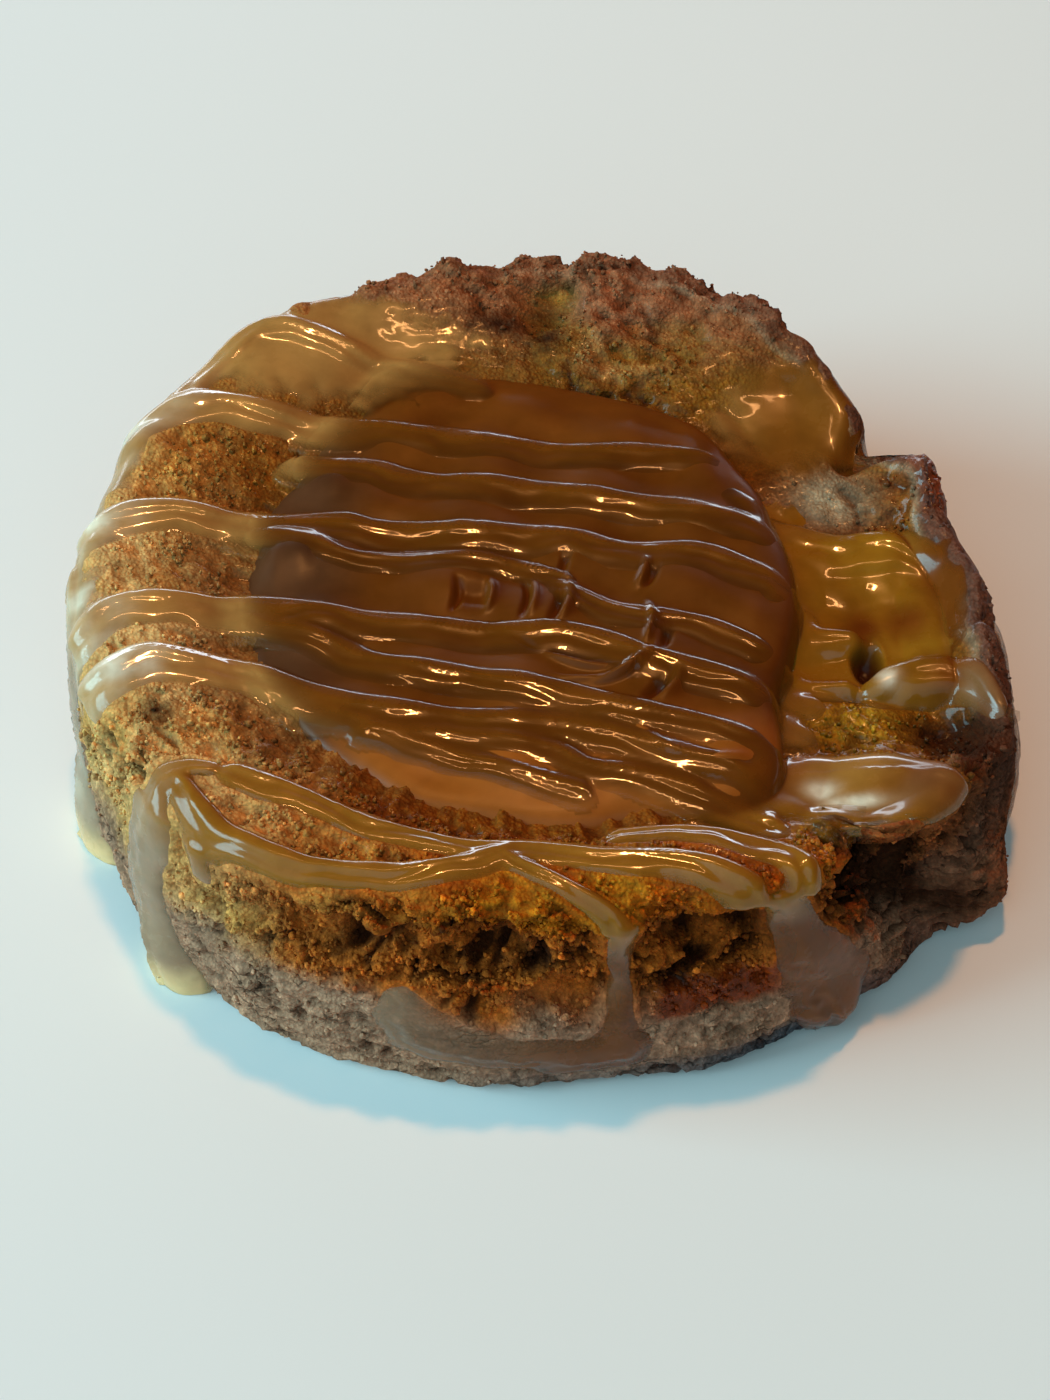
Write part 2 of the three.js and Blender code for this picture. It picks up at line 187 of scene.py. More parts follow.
def spline(values, t):
    """A smooth curve through the rows of values, at t from 0 to 1 along them."""
    values = np.asarray(values, float)
    last = len(values) - 1
    place = np.asarray(t) * last
    start = np.minimum(place.astype(int), last - 1)
    w = (place - start)[(...,) + (None,) * (values.ndim - 1)]
    before, here, after, beyond = (values[np.clip(start + step, 0, last)] for step in (-1, 0, 1, 2))
    leave = 0.5 * (after - before)
    arrive = 0.5 * (beyond - here)
    cubic = (2 * here - 2 * after + leave + arrive) * w**3
    return cubic + (3 * after - 3 * here - 2 * leave - arrive) * w**2 + leave * w + here


def noise_at(points, size, octaves=3, seed=0):
    """Soft noise from about -1 to 1, with features of that size in mm."""
    shift = Vector((7.3 * seed, 3.1 * seed, 5.7 * seed))
    flat = points.reshape(-1, 3) / size
    found = [noise.fractal(Vector(point) + shift, 1.0, 2.0, octaves) for point in flat]
    return np.array(found).reshape(points.shape[:-1])


def joints_at(points, size, seed=0):
    """Distance from the joint between two cells of that size in mm, from 0 in the joint."""
    shift = Vector((1.9 * seed, 6.1 * seed, 3.3 * seed))
    flat = points.reshape(-1, 3) / size
    found = [noise.voronoi(Vector(point) + shift)[0] for point in flat]
    return np.array([each[1] - each[0] for each in found]).reshape(points.shape[:-1])


def chunks_at(points, size, seed=0):
    """Angular crumbs of that size in mm, each at its own level from -0.5 to 0.5 and sunk at its joints."""
    shift = Vector((2.3 * seed, 5.3 * seed, 8.9 * seed))
    flat = points.reshape(-1, 3) / size
    levels = []
    for point in flat:
        away, places = noise.voronoi(Vector(point) + shift)
        level = noise.cell(places[0] * 7.7)
        levels.append(level * min(1.0, (away[1] - away[0]) / 0.12) - 0.5)
    return np.array(levels).reshape(points.shape[:-1])


def normals_of(points):
    """Outward normals of a skin whose rows are turns and whose columns are rings."""
    round_about = np.roll(points, -1, axis=0) - np.roll(points, 1, axis=0)
    outward = np.cross(np.gradient(points, axis=1), round_about)
    return outward / np.maximum(np.linalg.norm(outward, axis=-1, keepdims=True), 1e-9)


def softened(values, passes):
    """Values averaged with their neighbours, round the turns and along the rings."""
    for _ in range(passes):
        values = 0.5 * values + 0.25 * (np.roll(values, 1, axis=0) + np.roll(values, -1, axis=0))
        inner = 0.5 * values[:, 1:-1] + 0.25 * (values[:, 2:] + values[:, :-2])
        values = np.concatenate([values[:, :1], inner, values[:, -1:]], axis=1)
    return values


def bridged(heights, window):
    """Heights with the grooves along the rings that are narrower than the window filled level."""
    count = heights.shape[1]
    for pick in (np.maximum, np.minimum):
        padded = np.pad(heights, ((0, 0), (window, window)), mode="edge")
        heights = pick.reduce([padded[:, step : step + count] for step in range(2 * window + 1)])
    return heights


def soft_max(first, second, blend):
    """The larger of two values, with a fillet where they cross above the skin."""
    blend = blend * smoothstep(np.minimum(first, second), -0.6, 0.0)
    return 0.5 * (first + second + np.sqrt((first - second) ** 2 + blend**2))


# The cookie's form. Angles run from +X, the right, towards +Y, the back.

CHOCOLATE_CENTRE = np.array([-3.0, -2.5])
CALM_CRAGS = 0.35
SIDEWAYS = 0.6
CRUST_DROP = 5.0
CREST = 0.86
PLACES = (0, 0.35, 0.65, CREST, 0.97)
WHOLE_SHOULDER = (-1.6, 0.2, 0.7, 0, -2)
BROKEN_GUTTER = (-9.5, -9.4, -8, -3.8, -4.6)

wall_offset = ring([
    (-160, 0.9), (-140, 1.6), (-118, 1.9), (-100, 1), (-75, -0.2), (-56, 1), (-40, 2.4), (-22, 2.6),
    (-5, -0.2), (12, -2.4), (22, -1.4), (38, -2.2), (52, -0.4), (70, 0.8), (90, 1.2), (125, 0.4), (150, 0.3),
    (180, 0.5),
])
chocolate_offset = ring([
    (-178, -2), (-145, -1.3), (-122, -0.5), (-104, 1), (-73, 3.4), (-50, 7), (-24, -0.2), (18, 0),
    (33, 1.2), (54, 3.5), (73, 3.2), (113, 6.2), (126, 2), (148, -0.8),
])
broken_share = ring([
    (-66, 0), (-52, 0.3), (-40, 0.6), (-24, 0.9), (0, 1), (12, 0.95), (21, 0.6), (31, 0.9), (45, 0.55),
    (64, 0.2), (84, 0),
])
sunk_share = ring([
    (-66, 0), (-52, 0.3), (-42, 0.5), (-24, 0.6), (-13, 1), (10, 1), (22, 0.64), (42, 0.55), (64, 0.2),
    (84, 0),
])
rise_share = ring([(-180, 0.1), (-150, 0), (28, 0), (45, 0.3), (60, 0.85), (90, 1), (120, 0.75), (150, 0.4)])

# Dents in the wall and rim: angle, height, half width, half height and depth.
# The one below zero is a petal of crust that stands out beside the split.
DENTS = (
    (31, 22, 2.6, 9, 5),
    (-31, 4, 4, 5, -3.2),
    (-50, 20, 2.6, 4, 7),
    (-45, 14, 2.6, 5, 7),
    (-40, 8, 2.8, 5, 6),
    (-97, 19.5, 5, 2, 2.6),
    (-72, 17.5, 6, 2.4, 3.4),
    (-86, 14, 4, 2, 2),
    (-113, 19, 3, 1.8, 1.8),
)
# Holes left by chunks in the top: x, y, half width and depth.
CHUNK_HOLES = ((38.3, -16.8, 4.2, 4.5), (0.5, 38.5, 3.2, 3))


def lumps(angle, along):
    turn = np.radians(angle)
    large = np.sin(9 * turn + 1.3 + 2.2 * along) * np.cos(5 * turn - 3.1 * along)
    middle = np.sin(19 * turn - 4.3 * along) * np.cos(13 * turn + 0.7 + 5.2 * along)
    small = np.sin(37 * turn + 2.1 - 9 * along) * np.cos(29 * turn + 7 * along)
    return 0.45 * large + 0.35 * middle + 0.2 * small


def dent_at(angle, height, radius):
    deepest = np.zeros(np.broadcast(angle, height).shape)
    proudest = np.zeros(deepest.shape)
    for middle, level, across, tall, depth in DENTS:
        turn = signed(angle - middle)
        away = (np.radians(turn) * radius / across) ** 2 + ((height - level) / tall) ** 2
        here = depth * np.exp(-away)
        deepest = np.maximum(deepest, here)
        proudest = np.minimum(proudest, here)
    return deepest + proudest


def chunk_hole_at(plan):
    deepest = np.zeros(plan.shape[:-1])
    for x, y, across, depth in CHUNK_HOLES:
        away = np.hypot(plan[..., 0] - x, plan[..., 1] - y) / across
        deepest = np.maximum(deepest, depth * np.exp(-(away**2)))
    return deepest


class CookieForm:
    """The skins of the dough and of the chocolate as the solids have them, in millimetres."""

    def __init__(self, sizes):
        self.radius = sizes.cookie_radius / MM
        self.rim = sizes.rim_height / MM
        self.rise = sizes.back_rise / MM
        self.bulge = sizes.wall_bulge / MM
        self.foot = sizes.foot_round / MM
        self.dish = sizes.dish_floor / MM
        self.crags = sizes.crag_depth / MM
        self.chocolate_radius = sizes.chocolate_radius / MM
        self.chocolate_middle = (sizes.chocolate_top + sizes.chocolate_bottom) / 2 / MM
        self.chocolate_half = (sizes.chocolate_top - sizes.chocolate_bottom) / 2 / MM
        self.chocolate_round = sizes.chocolate_round / MM
        self.knife = sizes.knife_depth / MM
        self.pool = sizes.pool_level / MM

    def chocolate_edge(self, angle, inset):
        reach = (self.chocolate_radius + chocolate_offset(angle)) * (1 - inset / self.chocolate_radius)
        turn = np.radians(angle)
        return CHOCOLATE_CENTRE + np.stack([np.cos(turn) * reach, np.sin(turn) * reach], axis=-1)

    def plan(self, angle, place):
        """A point of the dough's plan: place 0 is the chocolate's edge and 1 the wall."""
        turn = np.radians(angle)
        reach = self.radius + wall_offset(angle)
        wall = np.stack([np.cos(turn) * reach, np.sin(turn) * reach], axis=-1)
        return mix(self.chocolate_edge(angle, 0.0), wall, place[..., None])

    def dough_section(self, angle):
        """Places and heights of the nine points of the dough's section, for each angle."""
        rise = self.rise * rise_share(angle)
        heights = []
        for place, whole, broken in zip(PLACES, WHOLE_SHOULDER, BROKEN_GUTTER):
            share = sunk_share(angle) if place < CREST else broken_share(angle)
            heights.append(self.rim + mix(whole, broken, share) + rise * place**2)
        crest = PLACES.index(CREST)
        crust = self.rim + mix(WHOLE_SHOULDER[crest], BROKEN_GUTTER[crest], broken_share(angle))
        crust = crust + rise - CRUST_DROP
        swell = 1 + 2 * self.bulge / self.radius
        heights += [crust, 0.66 * crust, 0.33 * crust, np.full_like(angle, self.foot)]
        return np.array(PLACES + (1, swell, swell, 1)), np.array(heights)

    def dough(self, angle, along):
        """The dough's skin for each angle, and along from 0 at the chocolate's edge to 1 at the foot."""
        places, heights = self.dough_section(angle)
        place = spline(places, along)[None, :]
        height = spline(heights, along).T
        across = np.broadcast_to(angle[:, None], height.shape)
        ahead = np.broadcast_to(along[None, :], height.shape)
        place = np.broadcast_to(place, height.shape)
        plan = self.plan(across, place)
        craggy = smoothstep(ahead, 0.1, 0.35) * mix(CALM_CRAGS, 1, rise_share(across))
        lump = self.crags * craggy * lumps(across, ahead)
        dent = dent_at(across, height, self.radius) * smoothstep(place, 0.5, 0.9)
        hollow = chunk_hole_at(plan) + SIDEWAYS * dent
        height = np.where(ahead < 0.5, height - hollow, height)
        height = height + lump * (1 - smoothstep(ahead, 0.35, 0.6))
        inward = 1 - (dent - SIDEWAYS * lump) / np.linalg.norm(plan, axis=-1)
        return np.concatenate([plan * inward[..., None], height[..., None]], axis=-1)

    def chocolate(self, angle, along):
        """The chocolate's skin, along from 0 at the middle of its top to 1 at the middle underneath."""
        half = self.chocolate_half
        edge = self.chocolate_round
        section = np.array([
            (self.chocolate_radius, half + 0.2), (20, half + 0.2), (12, half + 0.1), (6, half - 0.1),
            (edge, half - 0.5), (0.9, half - 0.45 * edge), (0, 0.5), (0, -0.35 * half), (0.3 * edge, -half),
            (14, -half), (self.chocolate_radius, -half),
        ])
        inset, height = spline(section, along).T
        across = np.broadcast_to(angle[:, None], (len(angle), len(along)))
        plan = self.chocolate_edge(across, np.broadcast_to(inset[None, :], across.shape))
        x, y = plan[..., 0], plan[..., 1]
        waves = np.sin(0.4 * x + 0.25 * y) * np.cos(0.15 * x - 0.4 * y)
        spread = smoothstep(inset, 1, 6) * smoothstep(height, 0, half)
        level = self.chocolate_middle + height + self.knife * waves * spread
        return np.concatenate([plan, level[..., None]], axis=-1)


# Mesh helpers

FRONT_CROWDING = 17.0


def turns_of(count):
    """Angles round the disc, closer together at the front."""
    turn = np.arange(count) * 360.0 / count
    return turn - FRONT_CROWDING * np.cos(np.radians(turn))


def even_along(skin_at, low, high, count):
    """Places along a skin's section that lie about evenly spaced on it."""
    fine = np.linspace(low, high, 400)
    skin = skin_at(np.arange(0.0, 360.0, 30.0), fine)
    steps = np.linalg.norm(np.diff(skin, axis=1), axis=-1).mean(axis=0)
    reach = np.concatenate([[0.0], np.cumsum(steps)])
    return np.interp(np.linspace(0.0, reach[-1], count), reach, fine)


def skin_piece(name, points):
    """A sheet of faces on rows of points, one row a turn, each row from the first ring to the last."""
    turns, rings = points.shape[:2]
    bpy.ops.object.select_all(action="DESELECT")
    bpy.ops.mesh.primitive_grid_add(x_subdivisions=turns, y_subdivisions=rings - 1, size=2.0)
    piece = bpy.context.object
    piece.name = name
    piece.data.name = name
    start = spots_of(piece)
    turn = np.rint((start[:, 0] + 1) / 2 * turns).astype(int) % turns
    row = np.rint((1 - start[:, 1]) / 2 * (rings - 1)).astype(int)
    piece.data.vertices.foreach_set("co", (points[turn, row] * MM).ravel())
    piece.data.update()
    bpy.ops.object.shade_smooth()
    return piece, (turn, row)


def spots_of(piece):
    spots = np.empty(len(piece.data.vertices) * 3)
    piece.data.vertices.foreach_get("co", spots)
    return spots.reshape(-1, 3)


def close_skin(piece):
    """Joins the last turn of a skin to the first, and the points of each pole."""
    bpy.ops.object.mode_set(mode="EDIT")
    bpy.ops.mesh.select_all(action="SELECT")
    bpy.ops.mesh.remove_doubles(threshold=0.002 * MM)
    bpy.ops.object.mode_set(mode="OBJECT")


def keep_in_box(piece):
    """Draws in the few grains that would stand out of the solids' box."""
    low, high = (np.array(corner) for corner in CAD_BOX)
    spots = np.clip(spots_of(piece), low, high)
    piece.data.vertices.foreach_set("co", spots.ravel())
    piece.data.update()


def add_attribute(piece, name, values):
    attribute = piece.data.attributes.new(name, "FLOAT", "POINT")
    attribute.data.foreach_set("value", np.asarray(values, np.float32))


def add_tint(piece, colours):
    """Stores a colour for each point of a piece."""
    attribute = piece.data.attributes.new("tint", "FLOAT_COLOR", "POINT")
    whole = np.ones((len(colours), 4), np.float32)
    whole[:, :3] = np.clip(colours, 0.0, 1.0)
    attribute.data.foreach_set("color", whole.ravel())


def finish_piece(piece, material, slot, *nodes):
    piece.data.materials.clear()
    piece.data.materials.append(material)
    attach(piece, "root")
    if nodes:
        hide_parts(*nodes)


# Material helpers

def new_material(name):
    material = bpy.data.materials.new(name)
    material.use_nodes = True
    return material, material.node_tree, material.node_tree.nodes["Principled BSDF"]


def link(tree, output, socket):
    tree.links.new(output, socket)


def attribute_node(tree, name, output="Fac"):
    node = tree.nodes.new("ShaderNodeAttribute")
    node.attribute_name = name
    return node.outputs[output]


def feed(tree, socket, value):
    """Links an output to a socket, or sets the socket to a number or a colour."""
    if isinstance(value, bpy.types.NodeSocket):
        link(tree, value, socket)
    elif isinstance(value, float):
        socket.default_value = value
    else:
        socket.default_value = (*value, 1.0)


def mixed(tree, factor, first, second, blend="MIX"):
    """A colour between two: each is an output or a plain colour, and so is the factor or a number."""
    node = tree.nodes.new("ShaderNodeMix")
    node.data_type = "RGBA"
    node.blend_type = blend
    feed(tree, node.inputs[0], factor)
    feed(tree, node.inputs[6], first)
    feed(tree, node.inputs[7], second)
    return node.outputs[2]


def maths(tree, operation, first, second):
    """What an operation makes of two values, each an output or a number."""
    node = tree.nodes.new("ShaderNodeMath")
    node.operation = operation
    feed(tree, node.inputs[0], first)
    feed(tree, node.inputs[1], second)
    return node.outputs[0]


def grain_group():
    """Fine uneven grain at a size in metres: a cloudy value, grains and a height."""
    group = bpy.data.node_groups.get("Fine grain")
    if group:
        return group
    group = bpy.data.node_groups.new("Fine grain", "ShaderNodeTree")
    group.interface.new_socket("Size", in_out="INPUT", socket_type="NodeSocketFloat")
    for name in ("Value", "Grain", "Height"):
        group.interface.new_socket(name, in_out="OUTPUT", socket_type="NodeSocketFloat")
    enter = group.nodes.new("NodeGroupInput")
    leave = group.nodes.new("NodeGroupOutput")
    place = group.nodes.new("ShaderNodeTexCoord")
    scale = maths(group, "DIVIDE", 1.0, enter.outputs["Size"])
    cloud = group.nodes.new("ShaderNodeTexNoise")
    cloud.inputs["Detail"].default_value = 4.0
    cloud.inputs["Roughness"].default_value = 0.6
    cells = group.nodes.new("ShaderNodeTexVoronoi")
    for node in (cloud, cells):
        link(group, place.outputs["Object"], node.inputs["Vector"])
        link(group, scale, node.inputs["Scale"])
    grain = maths(group, "SUBTRACT", 1.0, cells.outputs["Distance"])
    link(group, cloud.outputs[0], leave.inputs["Value"])
    link(group, grain, leave.inputs["Grain"])
    link(group, maths(group, "ADD", cloud.outputs[0], grain), leave.inputs["Height"])
    return group


def grain_node(tree, size_mm):
    node = tree.nodes.new("ShaderNodeGroup")
    node.node_tree = grain_group()
    node.inputs["Size"].default_value = size_mm * MM
    return node


def ranged(tree, output, low, high, to_low, to_high):
    node = tree.nodes.new("ShaderNodeMapRange")
    link(tree, output, node.inputs["Value"])
    for name, value in (("From Min", low), ("From Max", high), ("To Min", to_low), ("To Max", to_high)):
        node.inputs[name].default_value = value
    return node.outputs["Result"]


def bumped(tree, shader, height, distance_mm, strength):
    node = tree.nodes.new("ShaderNodeBump")
    node.inputs["Distance"].default_value = distance_mm * MM
    node.inputs["Strength"].default_value = strength
    link(tree, height, node.inputs["Height"])
    link(tree, node.outputs["Normal"], shader.inputs["Normal"])


CRACK_WAVES = 1.2  # size of the waves in the cracks between flakes
CRACK_WANDER = 1.4  # how far those waves move a crack


def crack_node(tree, size_mm, flat):
    """Distance from cracks between flakes of that size, which are lower than they are wide."""
    place = tree.nodes.new("ShaderNodeTexCoord")
    wavy = tree.nodes.new("ShaderNodeTexNoise")
    wavy.inputs["Scale"].default_value = 1.0 / (CRACK_WAVES * MM)
    link(tree, place.outputs["Object"], wavy.inputs["Vector"])
    shifted = tree.nodes.new("ShaderNodeVectorMath")
    shifted.operation = "MULTIPLY_ADD"
    shifted.inputs[1].default_value = (CRACK_WANDER * MM,) * 3
    link(tree, wavy.outputs["Color"], shifted.inputs[0])
    link(tree, place.outputs["Object"], shifted.inputs[2])
    stretched = tree.nodes.new("ShaderNodeVectorMath")
    stretched.operation = "MULTIPLY"
    stretched.inputs[1].default_value = (1.0, 1.0, flat)
    link(tree, shifted.outputs[0], stretched.inputs[0])
    cells = tree.nodes.new("ShaderNodeTexVoronoi")
    cells.feature = "DISTANCE_TO_EDGE"
    cells.inputs["Scale"].default_value = 1.0 / (size_mm * MM)
    link(tree, stretched.outputs[0], cells.inputs["Vector"])
    return cells.outputs["Distance"]


def tint_node(tree):
    return attribute_node(tree, "tint", "Color")


def dough_material():
    material = bpy.data.materials.get("Browned crumb")
    if material:
        return material
    material, tree, shader = new_material("Browned crumb")
    patches = grain_node(tree, 3.0)
    light = ranged(tree, patches.outputs["Value"], 0.3, 0.7, 0.8, 1.2)
    base = mixed(tree, 1.0, tint_node(tree), light, "MULTIPLY")
    coarse = grain_node(tree, 0.9)
    base = mixed(tree, 1.0, base, ranged(tree, coarse.outputs["Value"], 0.32, 0.68, 0.72, 1.28), "MULTIPLY")
    fine = grain_node(tree, 0.4)
    base = mixed(tree, 1.0, base, ranged(tree, fine.outputs["Height"], 0.9, 1.5, 0.8, 1.2), "MULTIPLY")
    # Painted shade: the cracks between the lower wall's flakes are darkened, as well as sunk by the bump
    crack = crack_node(tree, 2.6, 2.2)
    flaky = attribute_node(tree, "flaky")
    base = mixed(tree, flaky, base, ranged(tree, crack, 0.0, 0.06, 0.3, 1.0), "MULTIPLY")
    depth = maths(tree, "MULTIPLY", ranged(tree, crack, 0.0, 0.12, -1.2, 0.0), flaky)
    height = maths(tree, "ADD", fine.outputs["Height"], depth)
    link(tree, base, shader.inputs["Base Color"])
    wet = ranged(tree, attribute_node(tree, "wet"), 0.0, 1.0, 0.9, 0.3)
    link(tree, wet, shader.inputs["Roughness"])
    shader.inputs["Specular IOR Level"].default_value = 0.1
    link(tree, attribute_node(tree, "wet"), shader.inputs["Coat Weight"])
    shader.inputs["Coat Roughness"].default_value = 0.12
    bumped(tree, shader, height, 0.2, 0.9)
    return material


def chocolate_material():
    material = bpy.data.materials.get("Milk chocolate")
    if material:
        return material
    material, tree, shader = new_material("Milk chocolate")
    cloud = grain_node(tree, 6.0)
    light = ranged(tree, cloud.outputs["Value"], 0.3, 0.7, 0.8, 1.2)
    link(tree, mixed(tree, 1.0, tint_node(tree), light, "MULTIPLY"), shader.inputs["Base Color"])
    gloss = ranged(tree, cloud.outputs["Value"], 0.3, 0.7, 0.28, 0.4)
    link(tree, gloss, shader.inputs["Roughness"])
    shader.inputs["Specular IOR Level"].default_value = 0.14
    fine = grain_node(tree, 1.6)
    bumped(tree, shader, fine.outputs["Value"], 0.08, 0.25)
    return material


def caramel_material():
    material = bpy.data.materials.get("Caramel")
    if material:
        return material
    material, tree, shader = new_material("Caramel")
    cloud = grain_node(tree, 4.0)
    light = ranged(tree, cloud.outputs["Value"], 0.3, 0.7, 0.85, 1.15)
    link(tree, mixed(tree, 1.0, tint_node(tree), light, "MULTIPLY"), shader.inputs["Base Color"])
    rough = ranged(tree, cloud.outputs["Value"], 0.3, 0.7, 0.2, 0.32)
    link(tree, rough, shader.inputs["Roughness"])
    shader.inputs["Specular IOR Level"].default_value = 0.12
    link(tree, attribute_node(tree, "cover"), shader.inputs["Alpha"])
    link(tree, attribute_node(tree, "gloss"), shader.inputs["Coat Weight"])
    shader.inputs["Coat Roughness"].default_value = 0.05
    return material


# Caramel's course, shared by the pieces that it lies on

UNSET = -1.0
BACK_SHARE = 0.3  # of a strand's width lies behind its crest, the steep side
LINES_ALONG = 0.17  # height of the fine lines that run along a strand, as a share of its own
LINE_TURNS = 9.5
RIPPLE = 0.14  # how far a strand's width wanders, as a share of it
SUNK_STRANDS = 0.6  # how high strands stand on the chocolate, as a share of their height on dough

# Strands across the top from the back to the front, by their upper edge: (x, y, width).
STRANDS = (
    ((-38, 23, 4), (-34, 29.5, 4), (-29.6, 33.9, 4.4), (-20, 31.7, 4.2), (-11.7, 29.6, 4), (-6.7, 27.4, 3.4)),
    ((-43, 17, 6), (-40, 21, 5.6), (-34.6, 22.8, 5.4), (-27.4, 21.9, 5.2), (-18.9, 21, 5), (-10.3, 19.6, 4.8),
     (-1.7, 17.8, 4.8), (5.4, 16.9, 4.6), (12.6, 17.1, 4.4), (17, 16.8, 4)),
    ((-23.9, 15.3, 4), (-17.4, 14.6, 4.2), (-13, 12.8, 4.4), (-6, 12.1, 4.4), (1.1, 11, 4.4), (8.3, 9.6, 4.4),
     (15.4, 8.5, 4.6), (21, 7, 5), (25, 5.5, 5.5)),
    ((-45, 4, 5), (-41, 6, 5), (-35.6, 7.1, 5), (-28.1, 6.9, 5.2), (-20.3, 6.9, 5), (-16, 5.6, 4.8),
     (-6, 5, 4.8), (1.1, 4.7, 4.8), (8.3, 2.8, 4.8), (15.4, 2.4, 4.8), (21.1, 0.4, 5), (25, -1.5, 5.5)),
    ((-26.7, 4.4, 2.6), (-22.4, 3.5, 2.8), (-18.9, 1.4, 3), (-13, 1, 3.2), (-6, 0.9, 3.2), (-1, -0.4, 3),
     (2.2, -1.7, 2.6)),
    ((2.6, -3.3, 3.4), (7.6, -6.1, 3.8), (15.4, -7.6, 4), (21, -10, 4.4), (25, -12, 4.6)),
    ((-44, -9, 5), (-41, -6.5, 5), (-36.7, -5.4, 5), (-28.1, -4.7, 5.2), (-20.3, -5.8, 4.8), (-16, -6.9, 4.6),
     (-6, -8.3, 4.6), (1.1, -8.6, 4.6), (6.1, -10, 4.6), (9.4, -11.9, 4.4), (12.6, -12.9, 4.4),
     (18, -14.2, 4.6), (23, -15.8, 5)),
    ((-27.4, -6.9, 3), (-21.7, -9, 3.6), (-16, -12.2, 4), (-10.3, -13.6, 4.2), (-6, -14.4, 4.2),
     (1.1, -16.1, 4.2), (8.3, -18.6, 4), (16, -20.5, 3.8), (22, -22.5, 3.8)),
    ((-42, -15, 6), (-37, -12.6, 5.8), (-33.5, -12.7, 5.4), (-27.4, -13.3, 5.2), (-21.7, -15.8, 4.8),
     (-16, -17.9, 4.6), (-9.6, -19, 4.4), (-1.7, -19.7, 4.2), (4.7, -20.8, 4), (9, -22.6, 4), (15, -24.5, 4),
     (20, -26, 4)),
    ((-25, -15.6, 2.6), (-20.3, -18, 2.8), (-16, -20.7, 2.8), (-10.3, -23.2, 2.8), (-1.7, -26.2, 2.8),
     (3.3, -28, 2.6)),
    ((-16, -21.5, 2.6), (-6, -21.9, 3), (1.1, -23.3, 3.4), (4, -25.1, 3.4), (8.3, -26.1, 3.4),
     (12.6, -27.2, 3.6), (15.4, -28.6, 3.6), (20, -30, 4)),
    ((-26.7, -27.2, 3.6), (-22.4, -29, 3.6), (-16, -32.2, 3.4), (-10.3, -34.4, 3.2), (-6, -35.4, 3.2),
     (-0.3, -35.3, 3.4), (5.4, -36.5, 3.8), (12.6, -37.2, 4.2), (18.3, -39.4, 4)),
    ((-29.5, -27.6, 2.4), (-31.5, -27.4, 2.8), (-33.5, -28.4, 3.4), (-34.2, -30.5, 3.6)),
    ((-31.7, -28.3, 3), (-27.4, -34, 3.6), (-20.3, -37.6, 3.4), (-13, -38.6, 3.4), (-6.7, -37.6, 3.6),
     (-3.1, -35.8, 3.6)),
    ((-4, -36.5, 2.2), (0, -39, 2.2), (5, -42, 2.4), (8.5, -44.5, 2.8)),
    ((6.9, -33.3, 3), (12.6, -33.1, 3.4), (18.3, -34, 4), (21.9, -35.4, 4.4), (23.3, -38.3, 4.4),
     (21.9, -41.9, 4.6)),
    ((20, -24.6, 6), (23, -22.4, 9.4), (27, -21.6, 11.4), (31.5, -21.8, 11), (35, -23.4, 8), (37, -25, 4.5)),
    ((22, 11.5, 6), (24, 10.6, 7), (28.7, 9.2, 8), (34.6, 9.4, 7), (37.5, 7.5, 5)),
    ((31.5, -11, 3.6), (33, -9.4, 4.4), (36, -8, 5), (39.5, -8.4, 4.6), (42, -11.5, 3.4), (43.3, -15, 2.6)),
    ((23, -3.2, 2.8), (27, -4, 2.8), (30, -4.4, 2)),
    ((23.5, -10.2, 3), (26, -10.6, 3), (29, -10.6, 2.4)),
)

# Drips down the wall, from the top to the tip: (angle, height, width).
DRIPS = (
    ((-176, 22, 8), (-171, 17, 7), (-168, 11, 7), (-165, 6, 7.5), (-161, 1.2, 9)),
    ((-138.5, 23, 6), (-139.5, 18, 6.5), (-140.5, 11, 6.5), (-139, 5, 7), (-136.5, 0.8, 7)),
    ((-131, 22, 4), (-130.5, 19.5, 3.4)),
    ((-105, 13, 4.5), (-103, 9, 8.5), (-97, 7.5, 6.5), (-91, 6.5, 5.5), (-86, 5.5, 6), (-81, 6, 6)),
    ((-81, 21.5, 3.6), (-81.5, 15, 2.8), (-81.5, 10, 3.4), (-82, 7, 5)),
    ((-63, 21.5, 4.5), (-61, 17, 5.5), (-58, 11, 8), (-56, 6, 9), (-55, 3.6, 6)),
    ((-8, 17.5, 6), (-12, 14, 8), (-15.5, 10, 10), (-17.5, 6, 9)),
)

# How much thicker each drip grows at the table, where its tip has run out.
TIP_SWELLS = (2.2, 2.2, 0, 0, 0, 2, 0)

# Films between strands: x, y, z, and half sizes along each.
FILMS = (
    (-22, 30, 25.5, 19, 8.5, 6),
    (-45.5, 0, 20.5, 5.5, 20, 6),
    (-43.5, 13, 23, 4.5, 9, 5),
    (27.5, 25, 18, 12, 8.5, 9),
    (39.8, 0.5, 17, 3.4, 9.5, 5.5),
)


